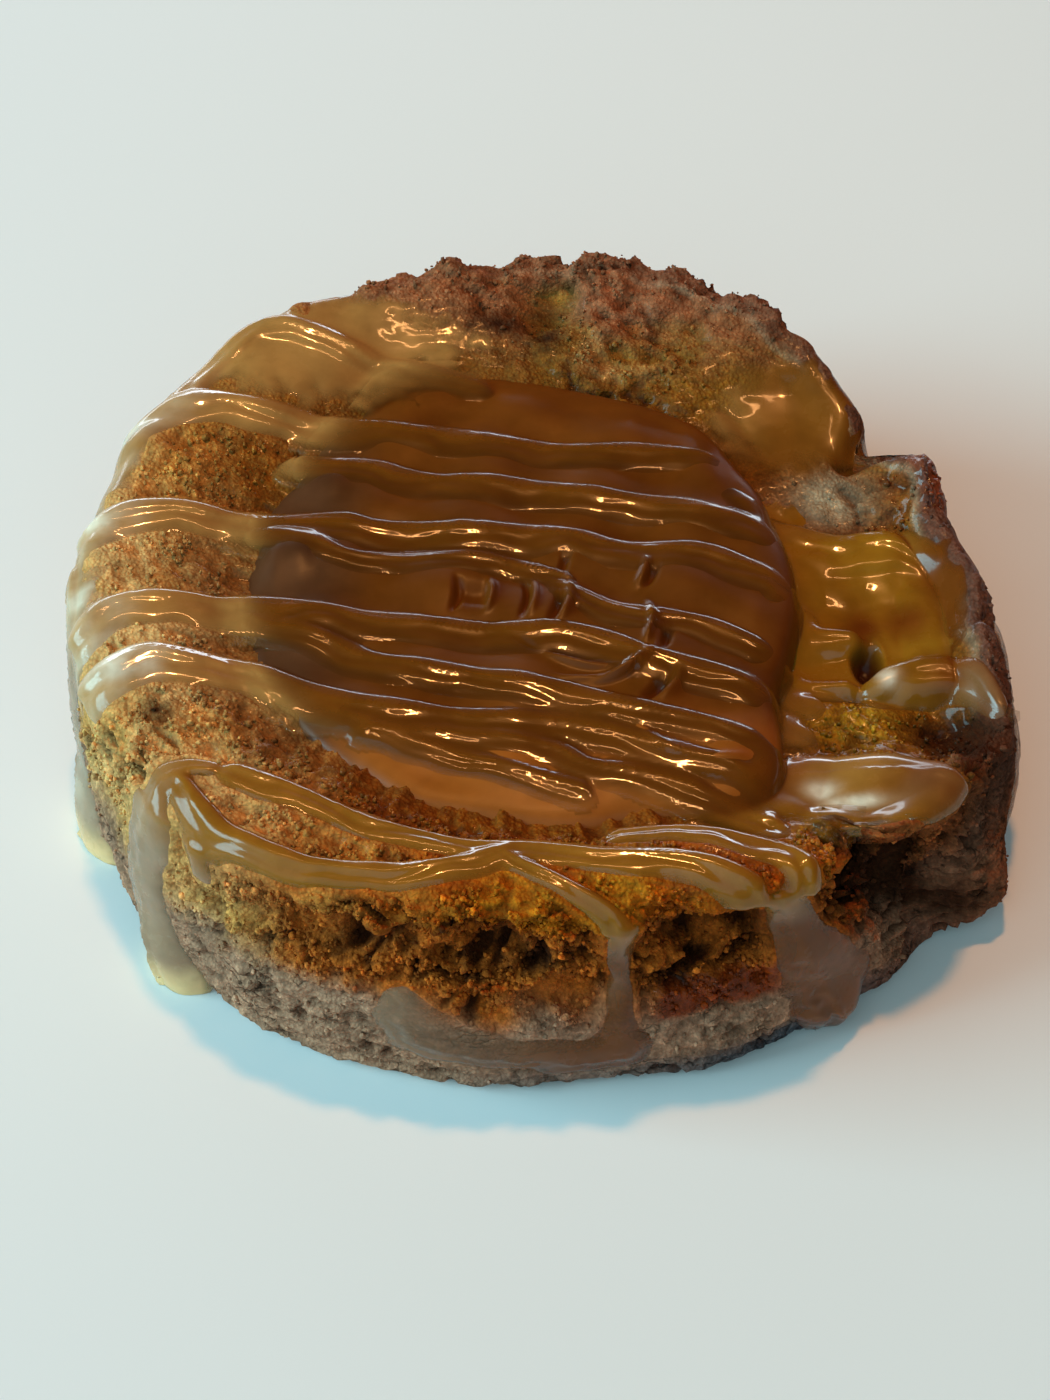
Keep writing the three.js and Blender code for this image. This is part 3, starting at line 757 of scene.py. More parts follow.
def ridge_at(spots, route, back_share, tall, wobble):
    """How thick a strand is along its route of (x, y, width), with its left-hand side the steeper one."""
    path = spline(route, np.linspace(0, 1, 5 * len(route)))
    reach = path[:, 2].max()
    low = path[:, :2].min(axis=0) - reach
    high = path[:, :2].max(axis=0) + reach
    close = np.all((spots > low) & (spots < high), axis=1)
    near = spots[close]
    ripple = 1 + RIPPLE * wobble[close]
    best = np.full(len(near), UNSET)
    for start, end in zip(path[:-1], path[1:]):
        step = end[:2] - start[:2]
        away = near - start[:2]
        share = np.clip(away @ step / max(step @ step, 1e-9), 0, 1)
        width = mix(start[2], end[2], share)
        away = away - share[:, None] * step
        distance = np.linalg.norm(away, axis=1)
        side = (step[0] * away[:, 1] - step[1] * away[:, 0]) / np.maximum(distance * np.hypot(*step), 1e-9)
        behind = smoothstep(side, -0.6, 0.6)
        half = width * ripple * mix(1 - back_share, back_share, behind)
        swell = tall * np.clip(0.45 + width / 9, 0.6, 1.3)
        inside = np.clip(1 - (distance / half) ** 2, 0, 1)
        turns = LINE_TURNS * side * distance / half + 2.5 * wobble[close]
        lines = LINES_ALONG * (1 - behind) * inside * np.cos(turns)
        best = np.maximum(best, swell * (1 - (distance / half) ** mix(1.7, 2.6, behind) + lines))
    thick = np.full(len(spots), UNSET)
    thick[close] = np.maximum(best, UNSET)
    return thick


def caramel_at(points, angle, ahead, sizes, form):
    """How thick the caramel lies at points in mm, below zero beside it, and how much of it is film.

    Ahead is each point's place along the dough's section, and 0 on the chocolate."""
    tall = sizes.strand_height / MM
    wobble = noise_at(points, 2.6, 3, 22)
    slow = noise_at(points, 6.0, 2, 23)
    thick = np.full(len(points), UNSET)
    past_rim = 3.0 * smoothstep(ahead, 0.5, 0.64)
    standing = mix(SUNK_STRANDS, 1, smoothstep(ahead, 0.0, 0.15))
    for strand in STRANDS:
        route = np.array(strand, float)
        route[:, 1] -= 0.8 * BACK_SHARE * route[:, 2]
        here = ridge_at(points[:, :2], route, BACK_SHARE, tall, slow)
        here = here * np.where(here > 0, standing, 1) - past_rim
        thick = soft_max(thick, here, 0.25)
    on_top = 3.0 * (1 - smoothstep(ahead, 0.36, 0.5))
    unrolled = np.radians(np.mod(angle + 270.0, 360.0) - 270.0) * form.radius
    unrolled = np.stack([unrolled, points[:, 2]], axis=-1)
    near_table = smoothstep(points[:, 2], 9.0, 2.0)
    for drip, swell in zip(DRIPS, TIP_SWELLS):
        route = np.array(drip, float)
        route[:, 0] = np.radians(route[:, 0]) * form.radius
        here = ridge_at(unrolled, route, 0.5, 0.8 * tall, slow + wobble) - on_top
        here = here * np.where(here > 0, 1 + swell * near_table, 1)
        thick = soft_max(thick, here, 0.25)
    film = np.full(len(points), UNSET)
    for x, y, z, long, deep, high in FILMS:
        away = np.linalg.norm((points - (x, y, z)) / (long, deep, high), axis=1) + 0.25 * wobble
        film = np.maximum(film, sizes.film_height / MM * (1 - away**3))
    filmy = smoothstep(film - thick, -0.1, 0.1)
    return soft_max(thick, film, 0.2) + 0.01 * wobble, filmy


# Dough

DOUGH_TURNS = 640
DOUGH_RINGS = 144

lumpy_share = ring([
    (-180, 0.65), (-155, 0.8), (-135, 1.25), (-110, 1), (-70, 1), (-40, 1), (0, 0.8), (30, 1), (60, 1.3),
    (90, 1.3), (120, 0.8), (150, 0.65),
])
sandy_share = ring([
    (-180, 0.9), (-165, 0.9), (-150, 0.8), (-130, 0.8), (-115, 0.3), (-95, 0), (120, 0), (145, 0.1),
    (165, 0.5),
])
toast_share = ring([
    (-150, 0), (-125, 0.5), (-108, 0.85), (-60, 1), (-30, 0.7), (0, 0.5), (40, 0.4), (80, 0.2), (120, 0.1),
    (180, 0),
])
ruddy_share = ring([(-60, 0), (-30, 0.3), (0, 0.4), (35, 0.7), (60, 1), (110, 0.9), (135, 0.35), (160, 0)])
olive_share = ring([(30, 0), (60, 0.7), (85, 1), (115, 0.8), (140, 0.2), (170, 0)])
plum_share = ring([(-60, 0), (-40, 0.5), (-20, 1), (30, 1), (60, 0.6), (90, 0.3), (140, 0)])
soak_share = ring([(-80, 0), (-60, 0.4), (-30, 0.9), (0, 1), (25, 1), (50, 0.5), (80, 0)])
wet_share = ring([(-80, 0), (-60, 0.5), (-30, 0.8), (0, 0.5), (12, 0.15), (35, 0.1), (80, 0)])
ash_top = ring([
    (-180, 15), (-150, 13), (-130, 12.5), (-110, 13.5), (-90, 12), (-70, 10), (-45, 12), (0, 22), (40, 20),
    (90, 16), (140, 15),
])
band_share = ring([(-135, 0), (-120, 0.15), (-107, 0.8), (-75, 1), (-55, 1), (-42, 0.6), (-25, 0)])
band_level = ring([(-140, 17), (-120, 17.5), (-105, 18.5), (-88, 18), (-72, 16.8), (-55, 17), (-40, 14)])
torn_share = ring([(-128, 0), (-110, 0.9), (-50, 1), (-35, 0.8), (-20, 0)])
# How much darker and bluer the foot of the wall is, round the front
dark_foot_share = ring([(-105, 0), (-88, 0.45), (-60, 1), (-40, 0.6), (-25, 0)])
AMBER_STRIP = (-79, -61, 9.0, 13.5)  # first and last angle, lowest and highest place on the wall
FLAKE_FLATNESS = 3.6  # how much wider than high the flakes of the lower wall are
BLOCK_RISE = 2.0  # how much higher the block beside the gutter stands
FOOT_SWELL = 1.0
FOOT_PLACE = (-70.0, 9.0)  # angle and reach of the swollen foot

# Patches of the crumb: x, y and half sizes of bright wet crumb, of paler crumb beside the far crevice, of dry
# crust, of the block that stands up beside the gutter and of hollows darkened with painted shade.
GILDED_SPOTS = ((29, -15.5, 6.5, 4.5), (35.9, -26.7, 2.4, 1.8))
BACK_SPOTS = ((4.2, 32.4, 2.2, 2), (8, 30.4, 3.4, 1.2))
BEIGE_SPOTS = ((29, 14, 4, 3),)
BLOCK_SPOTS = ((39.5, 14, 3.6, 4.2),)
PAINTED_SHADE_SPOTS = (
    (-35, -20.6, 1.8, 1.4), (-27, -35.4, 1.4, 1), (39.6, -19.2, 4.6, 5.6), (0.6, 33.9, 1.8, 2.4),
    (-4.5, 35.4, 4, 1.6),
)
# The split in the right-hand wall, darkened with painted shade: angle, height and half sizes.
SPLIT_SPOTS = ((-51, 20.5, 3.2, 3.2), (-47, 16, 3.4, 3), (-41.5, 10.5, 3.8, 2.6), (-36, 5.5, 3.4, 2.6))


def spots_at(plan, spots):
    """How much of a point lies in any of the spots (x, y, half width, half depth), from 0 to 1."""
    share = np.zeros(plan.shape[:-1])
    for x, y, wide, deep in spots:
        away = np.hypot((plan[..., 0] - x) / wide, (plan[..., 1] - y) / deep)
        share = np.maximum(share, hump(away, 0, 1))
    return share


def layered(colours, first, shares, shape):
    """A colour for each point: the first named one, with shares of other named ones laid over it in turn."""
    tint = np.broadcast_to(np.array(getattr(colours, first)), shape)
    for name, share in shares:
        tint = mix(tint, np.array(getattr(colours, name)), np.clip(share, 0, 1)[..., None])
    return tint


class DoughSkin:
    """The baked dough's skin in millimetres, with its grains, cracks and hollows."""

    def __init__(self, sizes, form):
        self.angle = turns_of(DOUGH_TURNS)
        self.along = even_along(form.dough, 0.0, 1.0, DOUGH_RINGS)
        smooth = form.dough(self.angle, self.along)
        shape = smooth.shape[:2]
        self.across = np.broadcast_to(self.angle[:, None], shape)
        self.ahead = np.broadcast_to(self.along[None, :], shape)
        self.turn = signed(self.across)
        self.on_top = 1 - smoothstep(self.ahead, 0.42, 0.58)
        self.on_wall = 1 - self.on_top
        self.blotch = noise_at(smooth, 6.0, 3, 8)
        self.mark_patches(smooth, form)
        covered = caramel_at(smooth.reshape(-1, 3), self.across.ravel(), self.ahead.ravel(), sizes, form)
        self.thick, self.filmy = (values.reshape(shape) for values in covered)
        self.covered = smoothstep(self.thick, -0.5, 0.1)
        self.skin = self.roughened(smooth, sizes)

    def mark_patches(self, smooth, form):
        """Finds the torn band, the damp strip, the broken wall's outside and edge, and the lower wall."""
        height = smooth[..., 2]
        level = band_level(self.across) + 2.0 * self.blotch
        self.band = band_share(self.across) * hump(height, level, 3.8) * self.on_wall
        first, last, lowest, highest = AMBER_STRIP
        uneven = height + 0.8 * self.blotch
        self.strip = smoothstep(self.turn, first, first + 3) * smoothstep(self.turn, last, last - 3)
        self.strip = self.strip * smoothstep(uneven, lowest - 0.5, lowest + 0.7)
        self.strip = self.strip * smoothstep(uneven, highest + 0.5, highest - 0.7) * self.on_wall
        inside = form.radius + wall_offset(self.across) - np.linalg.norm(smooth[..., :2], axis=-1)
        inside = inside + 0.8 * self.blotch
        self.outer = plum_share(self.across) * smoothstep(inside, 4.4, 3.2)
        self.edge = plum_share(self.across) * hump(inside, 4.0, 0.35)
        ash = ash_top(self.across)
        self.low = smoothstep(height + 2.5 * self.blotch, ash + 2.5, ash - 2.5) * self.on_wall

    def roughened(self, smooth, sizes):
        """The smooth skin with its lumps, grains, cracks, flakes and torn crumb."""
        height = smooth[..., 2]
        grain = sizes.grain_depth / MM
        crack = sizes.crack_depth / MM
        lumpy = lumpy_share(self.across) * mix(1, 0.22, self.low)
        lumpy = lumpy * mix(1, 0.5, self.on_top * (self.ahead < 0.4))
        swells = noise_at(smooth, 4.2, 3, 7)
        knobs = 1.2 * chunks_at(smooth, 2.6) + 0.9 * chunks_at(smooth, 1.4, 1)
        self.grains = noise_at(smooth, 0.9, 3, 9)
        cracks = 1 - smoothstep(joints_at(smooth, 4.5, 3) + 0.15 * noise_at(smooth, 1.6, 3, 4), 0.0, 0.13)
        cracks = cracks * smoothstep(noise_at(smooth, 7.0, 2, 5), -0.15, 0.25)
        flaked = smooth * np.array([1.0, 1.0, FLAKE_FLATNESS])
        flakes = 1 - smoothstep(joints_at(flaked, 4.0, 13) + 0.25 * noise_at(smooth, 1.1, 2, 14), 0.0, 0.16)
        flakes = flakes * smoothstep(noise_at(smooth, 4.0, 2, 15), -0.1, 0.3) * self.low
        layers = noise_at(flaked, 2.4, 3, 16) * self.low
        self.torn = chunks_at(smooth, 2.2, 2) * self.band * (1 - self.strip)
        pits = smoothstep(noise_at(smooth, 2.0, 3, 6), 0.0, 0.35) * self.band * (1 - self.strip)
        self.pits = np.clip(pits + cracks * lumpy + 0.7 * flakes, 0, 1) * (1 - self.covered)

        knobby = mix(0.15, 1, lumpy) * mix(1, 0.15, self.low) * (knobs - 0.2)
        deep = 0.8 * lumpy * (swells - 0.25)
        deep = deep + grain * (knobby + 0.3 * self.grains)
        deep = deep + 0.5 * layers + 1.1 * self.torn
        deep = deep - crack * cracks * lumpy - 0.6 * crack * flakes - 1.8 * pits
        deep = deep * (1 - 0.92 * self.covered) - 0.2 * smoothstep(self.thick, 0.0, 0.3)
        deep = deep + FOOT_SWELL * hump(self.turn, *FOOT_PLACE) * smoothstep(height, 10.0, 4.0)
        deep = deep * smoothstep(height, 0.0, 1.6)
        skin = smooth + normals_of(softened(smooth, 4)) * deep[..., None]
        skin[..., 2] += BLOCK_RISE * spots_at(smooth, BLOCK_SPOTS) * smoothstep(height, 6.0, 16.0)
        skin[..., 2] = np.maximum(skin[..., 2], 0.0)
        return skin

    def tint(self, colours, form):
        """The crumb's colour at each point of the skin, and how wet it is."""
        height = self.skin[..., 2]
        reach = np.linalg.norm(self.skin[..., :2], axis=-1)
        uneven = height + self.blotch
        rough = height + 2 * self.blotch
        sandy = sandy_share(self.across)
        plum = plum_share(self.across)
        block = spots_at(self.skin, BLOCK_SPOTS)
        dark = spots_at(self.skin, PAINTED_SHADE_SPOTS)
        shares = (
            ("sandy", sandy + 0.5 * self.blotch * sandy),
            ("toasted", toast_share(self.across) * (0.7 + 0.9 * self.blotch)),
            ("olive", olive_share(self.across) * smoothstep(rough, 27, 24) * self.on_top),
            ("ruddy", ruddy_share(self.across) * smoothstep(rough, 21, 25)),
            ("soaked", 0.75 * (1 - smoothstep(self.ahead, 0.02, 0.22))),
            ("umber", torn_share(self.across) * smoothstep(uneven, 22.6, 20.6) * self.on_wall),
            ("ruddy", 0.75 * self.on_wall * smoothstep(self.skin[..., 1], 0, 15)),
            ("ashen", self.low),
            ("slate", dark_foot_share(self.across) * smoothstep(uneven, 5.0, 2.0) * self.low),
            ("amber", self.strip),
            ("soaked", soak_share(self.across) * (1 - smoothstep(reach, 41, 44)) * (0.8 + 0.4 * self.blotch)),
            ("plum", np.maximum(plum * self.low, self.outer)),
            ("umber", 0.35 * plum * self.low * smoothstep(height, 15, 7)),
            ("amber", block * (0.5 + self.blotch)),
            ("crust", 0.3 * self.edge),
            ("crust", 0.8 * spots_at(self.skin, BEIGE_SPOTS) * self.on_top),
            ("gilded", spots_at(self.skin, GILDED_SPOTS) * self.on_top),
            ("sandy", 0.35 * spots_at(self.skin, BACK_SPOTS) * self.on_top * (1 + self.blotch)),
            # Painted shade in the dark hollows
            ("hollow", 0.95 * dark),
        )
        tint = layered(colours, "golden", shares, self.skin.shape)
        # The grains vary the tone; the torn chunks are painted lighter where they stand proud and darker
        # where they sink, painted light and shade
        tint = tint * np.clip(1 + 0.35 * self.grains + 0.8 * self.torn, 0.35, 1.8)[..., None]
        # Painted shade: the crumb is darkened towards the hollow colour in pits and cracks, chunk holes, deep
        # dents, a little over the torn band under the shoulder, and in the split
        hollow = self.pits + 0.8 * smoothstep(chunk_hole_at(self.skin[..., :2]), 1.0, 3.5)
        dents = dent_at(self.across, height, form.radius)
        hollow = hollow + 0.8 * smoothstep(dents, 2.4, 5.0) * self.on_wall
        hollow = hollow + 0.1 * self.band * (1 - self.strip)
        unrolled = np.stack([self.turn, height], axis=-1)
        hollow = hollow + 0.9 * spots_at(unrolled, SPLIT_SPOTS) * self.on_wall
        tint = mix(tint, np.array(colours.hollow), np.clip(hollow, 0, 0.95)[..., None])
        wet = 0.5 * wet_share(self.across) * (1 - smoothstep(reach, 42, 45)) * self.on_top
        wet = np.maximum(wet, 0.2 * self.strip) + 0.1 * (1 - smoothstep(self.ahead, 0.05, 0.3))
        wet = wet * (1 - 0.6 * dark) + 0.4 * block
        return tint, np.clip(wet, 0, 1)


SEAT_SHARES = (0.0, 0.15, 0.4, 0.65, 0.85)  # rings of the seat under the chocolate, from its middle out


class COOKIE_OT_dough(bpy.types.Operator):
    """Model the baked dough with its grains, cracks and hollows"""

    bl_idname = "cookie.dough"
    bl_label = "Dough"

    def execute(self, context):
        sizes = context.scene.cookie_sizes
        form = CookieForm(sizes)
        dough = DoughSkin(sizes, form)
        skin = dough.skin
        under = form.plan(dough.across[:, :1], np.ones((DOUGH_TURNS, 1))) * (1 - form.foot / form.radius)
        foot = np.concatenate([under, np.zeros((DOUGH_TURNS, 1, 1))], axis=-1)
        middle = np.array([*CHOCOLATE_CENTRE, form.dish])
        seat = mix(middle, skin[:, :1], np.array(SEAT_SHARES)[None, :, None])
        piece, spots = skin_piece("dough", np.concatenate([seat, skin, foot, 0.5 * foot, 0 * foot], axis=1))
        keep_in_box(piece)
        tint, wet = dough.tint(context.scene.cookie_colours, form)
        inner = np.repeat(tint[:, :1], seat.shape[1], axis=1)
        base = np.repeat(tint[:, -1:], 3, axis=1)
        add_tint(piece, np.concatenate([inner, tint, base], axis=1)[spots])
        dry = np.zeros((DOUGH_TURNS, seat.shape[1]))
        add_attribute(piece, "wet", np.concatenate([dry, wet, dry[:, :3]], axis=1)[spots])
        flaky = dough.low * smoothstep(noise_at(skin, 3.0, 2, 17), -0.2, 0.4)
        add_attribute(piece, "flaky", np.concatenate([dry, flaky, dry[:, :3]], axis=1)[spots])
        close_skin(piece)
        finish_piece(piece, dough_material(), "dough", "cookie")
        return {"FINISHED"}


# Crumbs

CRUMB_COUNT = 9000
CRUMB_RADII = (0.1, 0.5)  # smallest and largest

crumb_share = ring([
    (-180, 0.6), (-140, 0.6), (-110, 1), (-60, 1), (-40, 0.5), (0, 0.2), (40, 0.2), (70, 0.35), (110, 0.35),
    (140, 0.6),
])


class COOKIE_OT_crumbs(bpy.types.Operator):
    """Scatter loose crumbs over the bare dough, all in one mesh"""

    bl_idname = "cookie.crumbs"
    bl_label = "Crumbs"

    def execute(self, context):
        sizes = context.scene.cookie_sizes
        form = CookieForm(sizes)
        dough = DoughSkin(sizes, form)
        tint, wet = dough.tint(context.scene.cookie_colours, form)
        chance = (1 - dough.covered) * mix(1.0, 0.12, dough.low) * smoothstep(dough.skin[..., 2], 1.0, 4.0)
        chance = chance * crumb_share(dough.across)
        chance = chance * smoothstep(noise_at(dough.skin, 3.0, 2, 31), -0.5, 0.3)
        chance = (chance * smoothstep(dough.ahead, 0.02, 0.08)).ravel()
        random = np.random.default_rng(7)
        chosen = random.choice(len(chance), CRUMB_COUNT, p=chance / chance.sum())

        bpy.ops.object.select_all(action="DESELECT")
        bpy.ops.mesh.primitive_ico_sphere_add(subdivisions=1, radius=1.0)
        piece = context.object
        piece.name = "crumbs"
        piece.data.name = "crumbs"
        crumb = spots_of(piece)
        copies = piece.modifiers.new("Copies", "ARRAY")
        copies.count = CRUMB_COUNT
        bpy.ops.object.modifier_apply(modifier=copies.name)
        size = sizes.crumb_size / MM * random.lognormal(0.0, 0.4, CRUMB_COUNT)
        axes = random.uniform(0.65, 1.2, (CRUMB_COUNT, 1, 3))
        ragged = random.uniform(0.7, 1.2, (CRUMB_COUNT, len(crumb), 1))
        middle = dough.skin.reshape(-1, 3)[chosen] + random.uniform(-0.2, 0.2, (CRUMB_COUNT, 3))
        spots = middle[:, None, :] + crumb[None] * axes * ragged * np.clip(size, *CRUMB_RADII)[:, None, None]
        piece.data.vertices.foreach_set("co", (spots * MM).ravel())
        piece.data.update()
        keep_in_box(piece)
        light = random.lognormal(0.08, 0.2, (CRUMB_COUNT, 1))
        add_tint(piece, np.repeat(tint.reshape(-1, 3)[chosen] * light, len(crumb), axis=0))
        add_attribute(piece, "wet", np.repeat(wet.ravel()[chosen], len(crumb)))
        bpy.ops.object.shade_smooth()
        finish_piece(piece, dough_material(), "dough")
        return {"FINISHED"}


# Chocolate

CHOCOLATE_TURNS = 460
CHOCOLATE_RINGS = 150

MARK_HEIGHT = 1.3  # how much the heights below are raised
# Marks of the knife that spread it: x, y, half length, half width, direction in degrees and height.
KNIFE_MARKS = (
    (-6.4, -4.7, 1.5, 1.5, 0, -0.7),
    (-8.0, -4.8, 1.9, 0.4, 85, -0.6),
    (-4.8, -4.8, 1.9, 0.4, 85, 0.5),
    (-1.4, -5.3, 2.4, 0.35, 85, -0.55),
    (-0.6, -5.3, 2.4, 0.4, 85, 0.4),
    (1.7, -5.9, 2.6, 0.4, 80, -0.8),
    (2.6, -5.9, 2.6, 0.5, 80, 0.5),
    (2.2, -0.6, 2.0, 0.4, 75, -0.5),
    (10.7, -1.8, 2.0, 0.4, 75, -0.6),
    (9.9, -1.8, 2.0, 0.5, 75, 0.4),
    (10.3, -8.9, 2.6, 0.35, 85, 0.6),
    (11.8, -9.9, 2.2, 0.4, 85, -0.8),
    (11.0, -16.6, 2.2, 0.5, 60, -1.0),
    (12.2, -16.6, 2.4, 0.7, 60, 0.4),
    (8.6, -14.6, 3.0, 0.35, 40, 0.45),
    (7.4, -15.2, 3.0, 0.35, 35, 0.45),
    (5.6, -15.6, 3.6, 0.4, 15, 0.4),
    (1.0, -12.4, 4.0, 0.45, -20, -0.5),
    (2.6, -13.6, 4.5, 0.5, -22, 0.45),
    (13.0, -25.0, 5.0, 0.7, -18, 0.5),
    (-25.5, 0.5, 3.2, 3.6, 0, 0.7),
    (-22.5, 11.5, 3.0, 2.8, 0, 0.6),
)


def knife_marks_at(plan):
    height = np.zeros(plan.shape[:-1])
    for x, y, long, wide, direction, tall in KNIFE_MARKS:
        turn = math.radians(direction)
        aside = np.stack([plan[..., 0] - x, plan[..., 1] - y], axis=-1)
        ahead = aside @ np.array([math.cos(turn), math.sin(turn)])
        over = aside @ np.array([-math.sin(turn), math.cos(turn)]) - 0.06 * ahead**2
        height = height + tall * np.exp(-((ahead / long) ** 4) - (over / wide) ** 2)
    return MARK_HEIGHT * height


def chocolate_skin(form, angle, along):
    """The chocolate's skin in millimetres, with its knife marks and slow swells."""
    skin = form.chocolate(angle, along)
    upper = 1 - smoothstep(along, 0.38, 0.5)
    relief = knife_marks_at(skin[..., :2]) + 0.35 * noise_at(skin, 9.0, 2, 11)
    skin[..., 2] += relief * upper
    return skin


class COOKIE_OT_chocolate(bpy.types.Operator):
    """Model the round of set chocolate with its lobes and knife marks"""

    bl_idname = "cookie.chocolate"
    bl_label = "Chocolate"

    def execute(self, context):
        form = CookieForm(context.scene.cookie_sizes)
        along = even_along(form.chocolate, 0.0, 0.75, CHOCOLATE_RINGS - 8)
        along = np.concatenate([along, np.linspace(0.78, 1.0, 8)])
        skin = chocolate_skin(form, turns_of(CHOCOLATE_TURNS), along)
        piece, spots = skin_piece("chocolate_round", skin)
        keep_in_box(piece)
        colours = context.scene.cookie_colours
        x, y = skin[..., 0], skin[..., 1]
        # Painted sheen: lighter chocolate at the front and a little at the back
        dull_and_painted_sheen = np.maximum(smoothstep(y, -17, -23), 0.2 * smoothstep(y, 10, 18))
        # Painted reflection: the left lobes are tinted lilac
        shares = (("painted_sheen_chocolate", dull_and_painted_sheen), ("painted_lilac_reflection", smoothstep(x, -15, -23)))
        add_tint(piece, layered(colours, "chocolate", shares, skin.shape)[spots])
        close_skin(piece)
        finish_piece(piece, chocolate_material(), "chocolate", "chocolate")
        return {"FINISHED"}


# Caramel

CARAMEL_TOP_RINGS = 76
CARAMEL_SIDE_RINGS = 8
INNER_RINGS = CARAMEL_TOP_RINGS + CARAMEL_SIDE_RINGS
CARAMEL_SHELL = 1.2  # from the caramel's face to its hidden side
HIDDEN_SIDE = "hidden"  # group of the points on that side
FACES_LEFT = 0.54  # share of the faces that thinning the hidden side leaves
KEPT_ABOVE = -0.5  # the sheet is cut away where the caramel is further below the skin than this
GUTTER = (15, -14, 14, 0.38)  # least x, least and greatest y, and its reach along the dough's section
POOL_HOLES = ((31.4, -7.6, 0.8, 1.9),)  # x, y and half sizes
POOL_HOLE_DEPTH = 2.5
POOL_FALL = 2.5  # how far the pool's level drops at its front end
# How much of what is below the caramel hides, by its thickness.
COVER_THICKNESSES = (0.0, 0.12, 0.3, 0.6, 1.2)
COVERS = (0.2, 0.5, 0.75, 0.92, 0.99)
# Painted pale reflections on the tongue, on the loop beside it and on the left rim: x, y and half sizes.
PAINTED_SHEEN_SPOTS = (
    (25.2, -26.6, 1.5, 1.0), (28.0, -28.2, 2.4, 0.8), (33.0, -10.6, 1.0, 0.8), (-39.5, -13, 4.0, 2.2),
    (-43, -5.5, 2.4, 1.6), (-43.5, 3.5, 2.4, 1.8), (-41.5, 17.5, 2.5, 2.5), (-38.6, -15.8, 3.0, 1.5),
)
# Brown patches on the broken side, likewise; the first two, above the pool's hole, are painted shadow.
BROWN_AND_PAINTED_SHADOW_SPOTS = (
    (31.5, -3, 2.2, 2.6), (36, -2.2, 3.2, 3.2), (39.6, 3, 4, 9), (34.5, -26, 4, 4), (39.5, -10, 4.5, 4),
)
FADING_SPOTS = ((-98, 11, 8, 3.5),)  # angle, height and half sizes of film that thins out upwards


def over_chocolate(form, dough):
    """The chocolate's top under the caramel, and how much of it stands clear of the dough."""
    along = even_along(form.chocolate, 0.0, 0.52, CARAMEL_TOP_RINGS)
    top = chocolate_skin(form, dough.angle, along)
    seat_share = np.linspace(1, 0, CARAMEL_TOP_RINGS)[None, :] * 0.96
    seat = mix(dough.skin[:, :1, 2], form.dish, seat_share)
    clear = smoothstep(top[..., 2] - seat, 0.0, 0.4)
    top[..., 2] = np.maximum(top[..., 2], seat)
    return top, clear


def over_dough(form, dough):
    """The dough under the caramel, filled up to the pool's level, with the pool's depth and its hole."""
    under = mix(softened(dough.skin, 2), softened(dough.skin, 16), dough.covered[..., None])
    x, y, floor = (dough.skin[..., axis] for axis in range(3))
    left, front, back, reach = GUTTER
    in_gutter = (x > left) & (y > front) & (y < back) & (dough.ahead < reach)
    hole = spots_at(dough.skin, POOL_HOLES)
    level = form.pool + 0.35 * noise_at(dough.skin, 5.0, 2, 21)
    level = level - POOL_HOLE_DEPTH * hole - POOL_FALL * smoothstep(y, front + 3.5, front)
    depth = np.where(in_gutter, level - floor, UNSET)
    under[..., 2] = np.where(depth > 0, level, under[..., 2])
    return under, depth, hole * (depth > UNSET)


def near_seam(rings, far, near):
    """How close each ring is to the chocolate's side, from 0 that far away in rings to 1 that near."""
    middle = INNER_RINGS - CARAMEL_SIDE_RINGS / 2
    return smoothstep(abs(np.arange(rings) - middle), far, near)


def joined_skins(top, under):
    """One skin over the chocolate, down its side and over the dough, with the groove between them filled."""
    fall = np.linspace(0, 1, CARAMEL_SIDE_RINGS + 2)[None, 1:-1, None]
    side = mix(top[:, -1:], under[:, :1], fall)
    base = np.concatenate([top, side, under], axis=1)
    seam = near_seam(base.shape[1], 22, 14)[None, :]
    base[..., 2] = mix(base[..., 2], bridged(base[..., 2], 13), seam)
    return mix(base, softened(base, 12), seam[..., None])


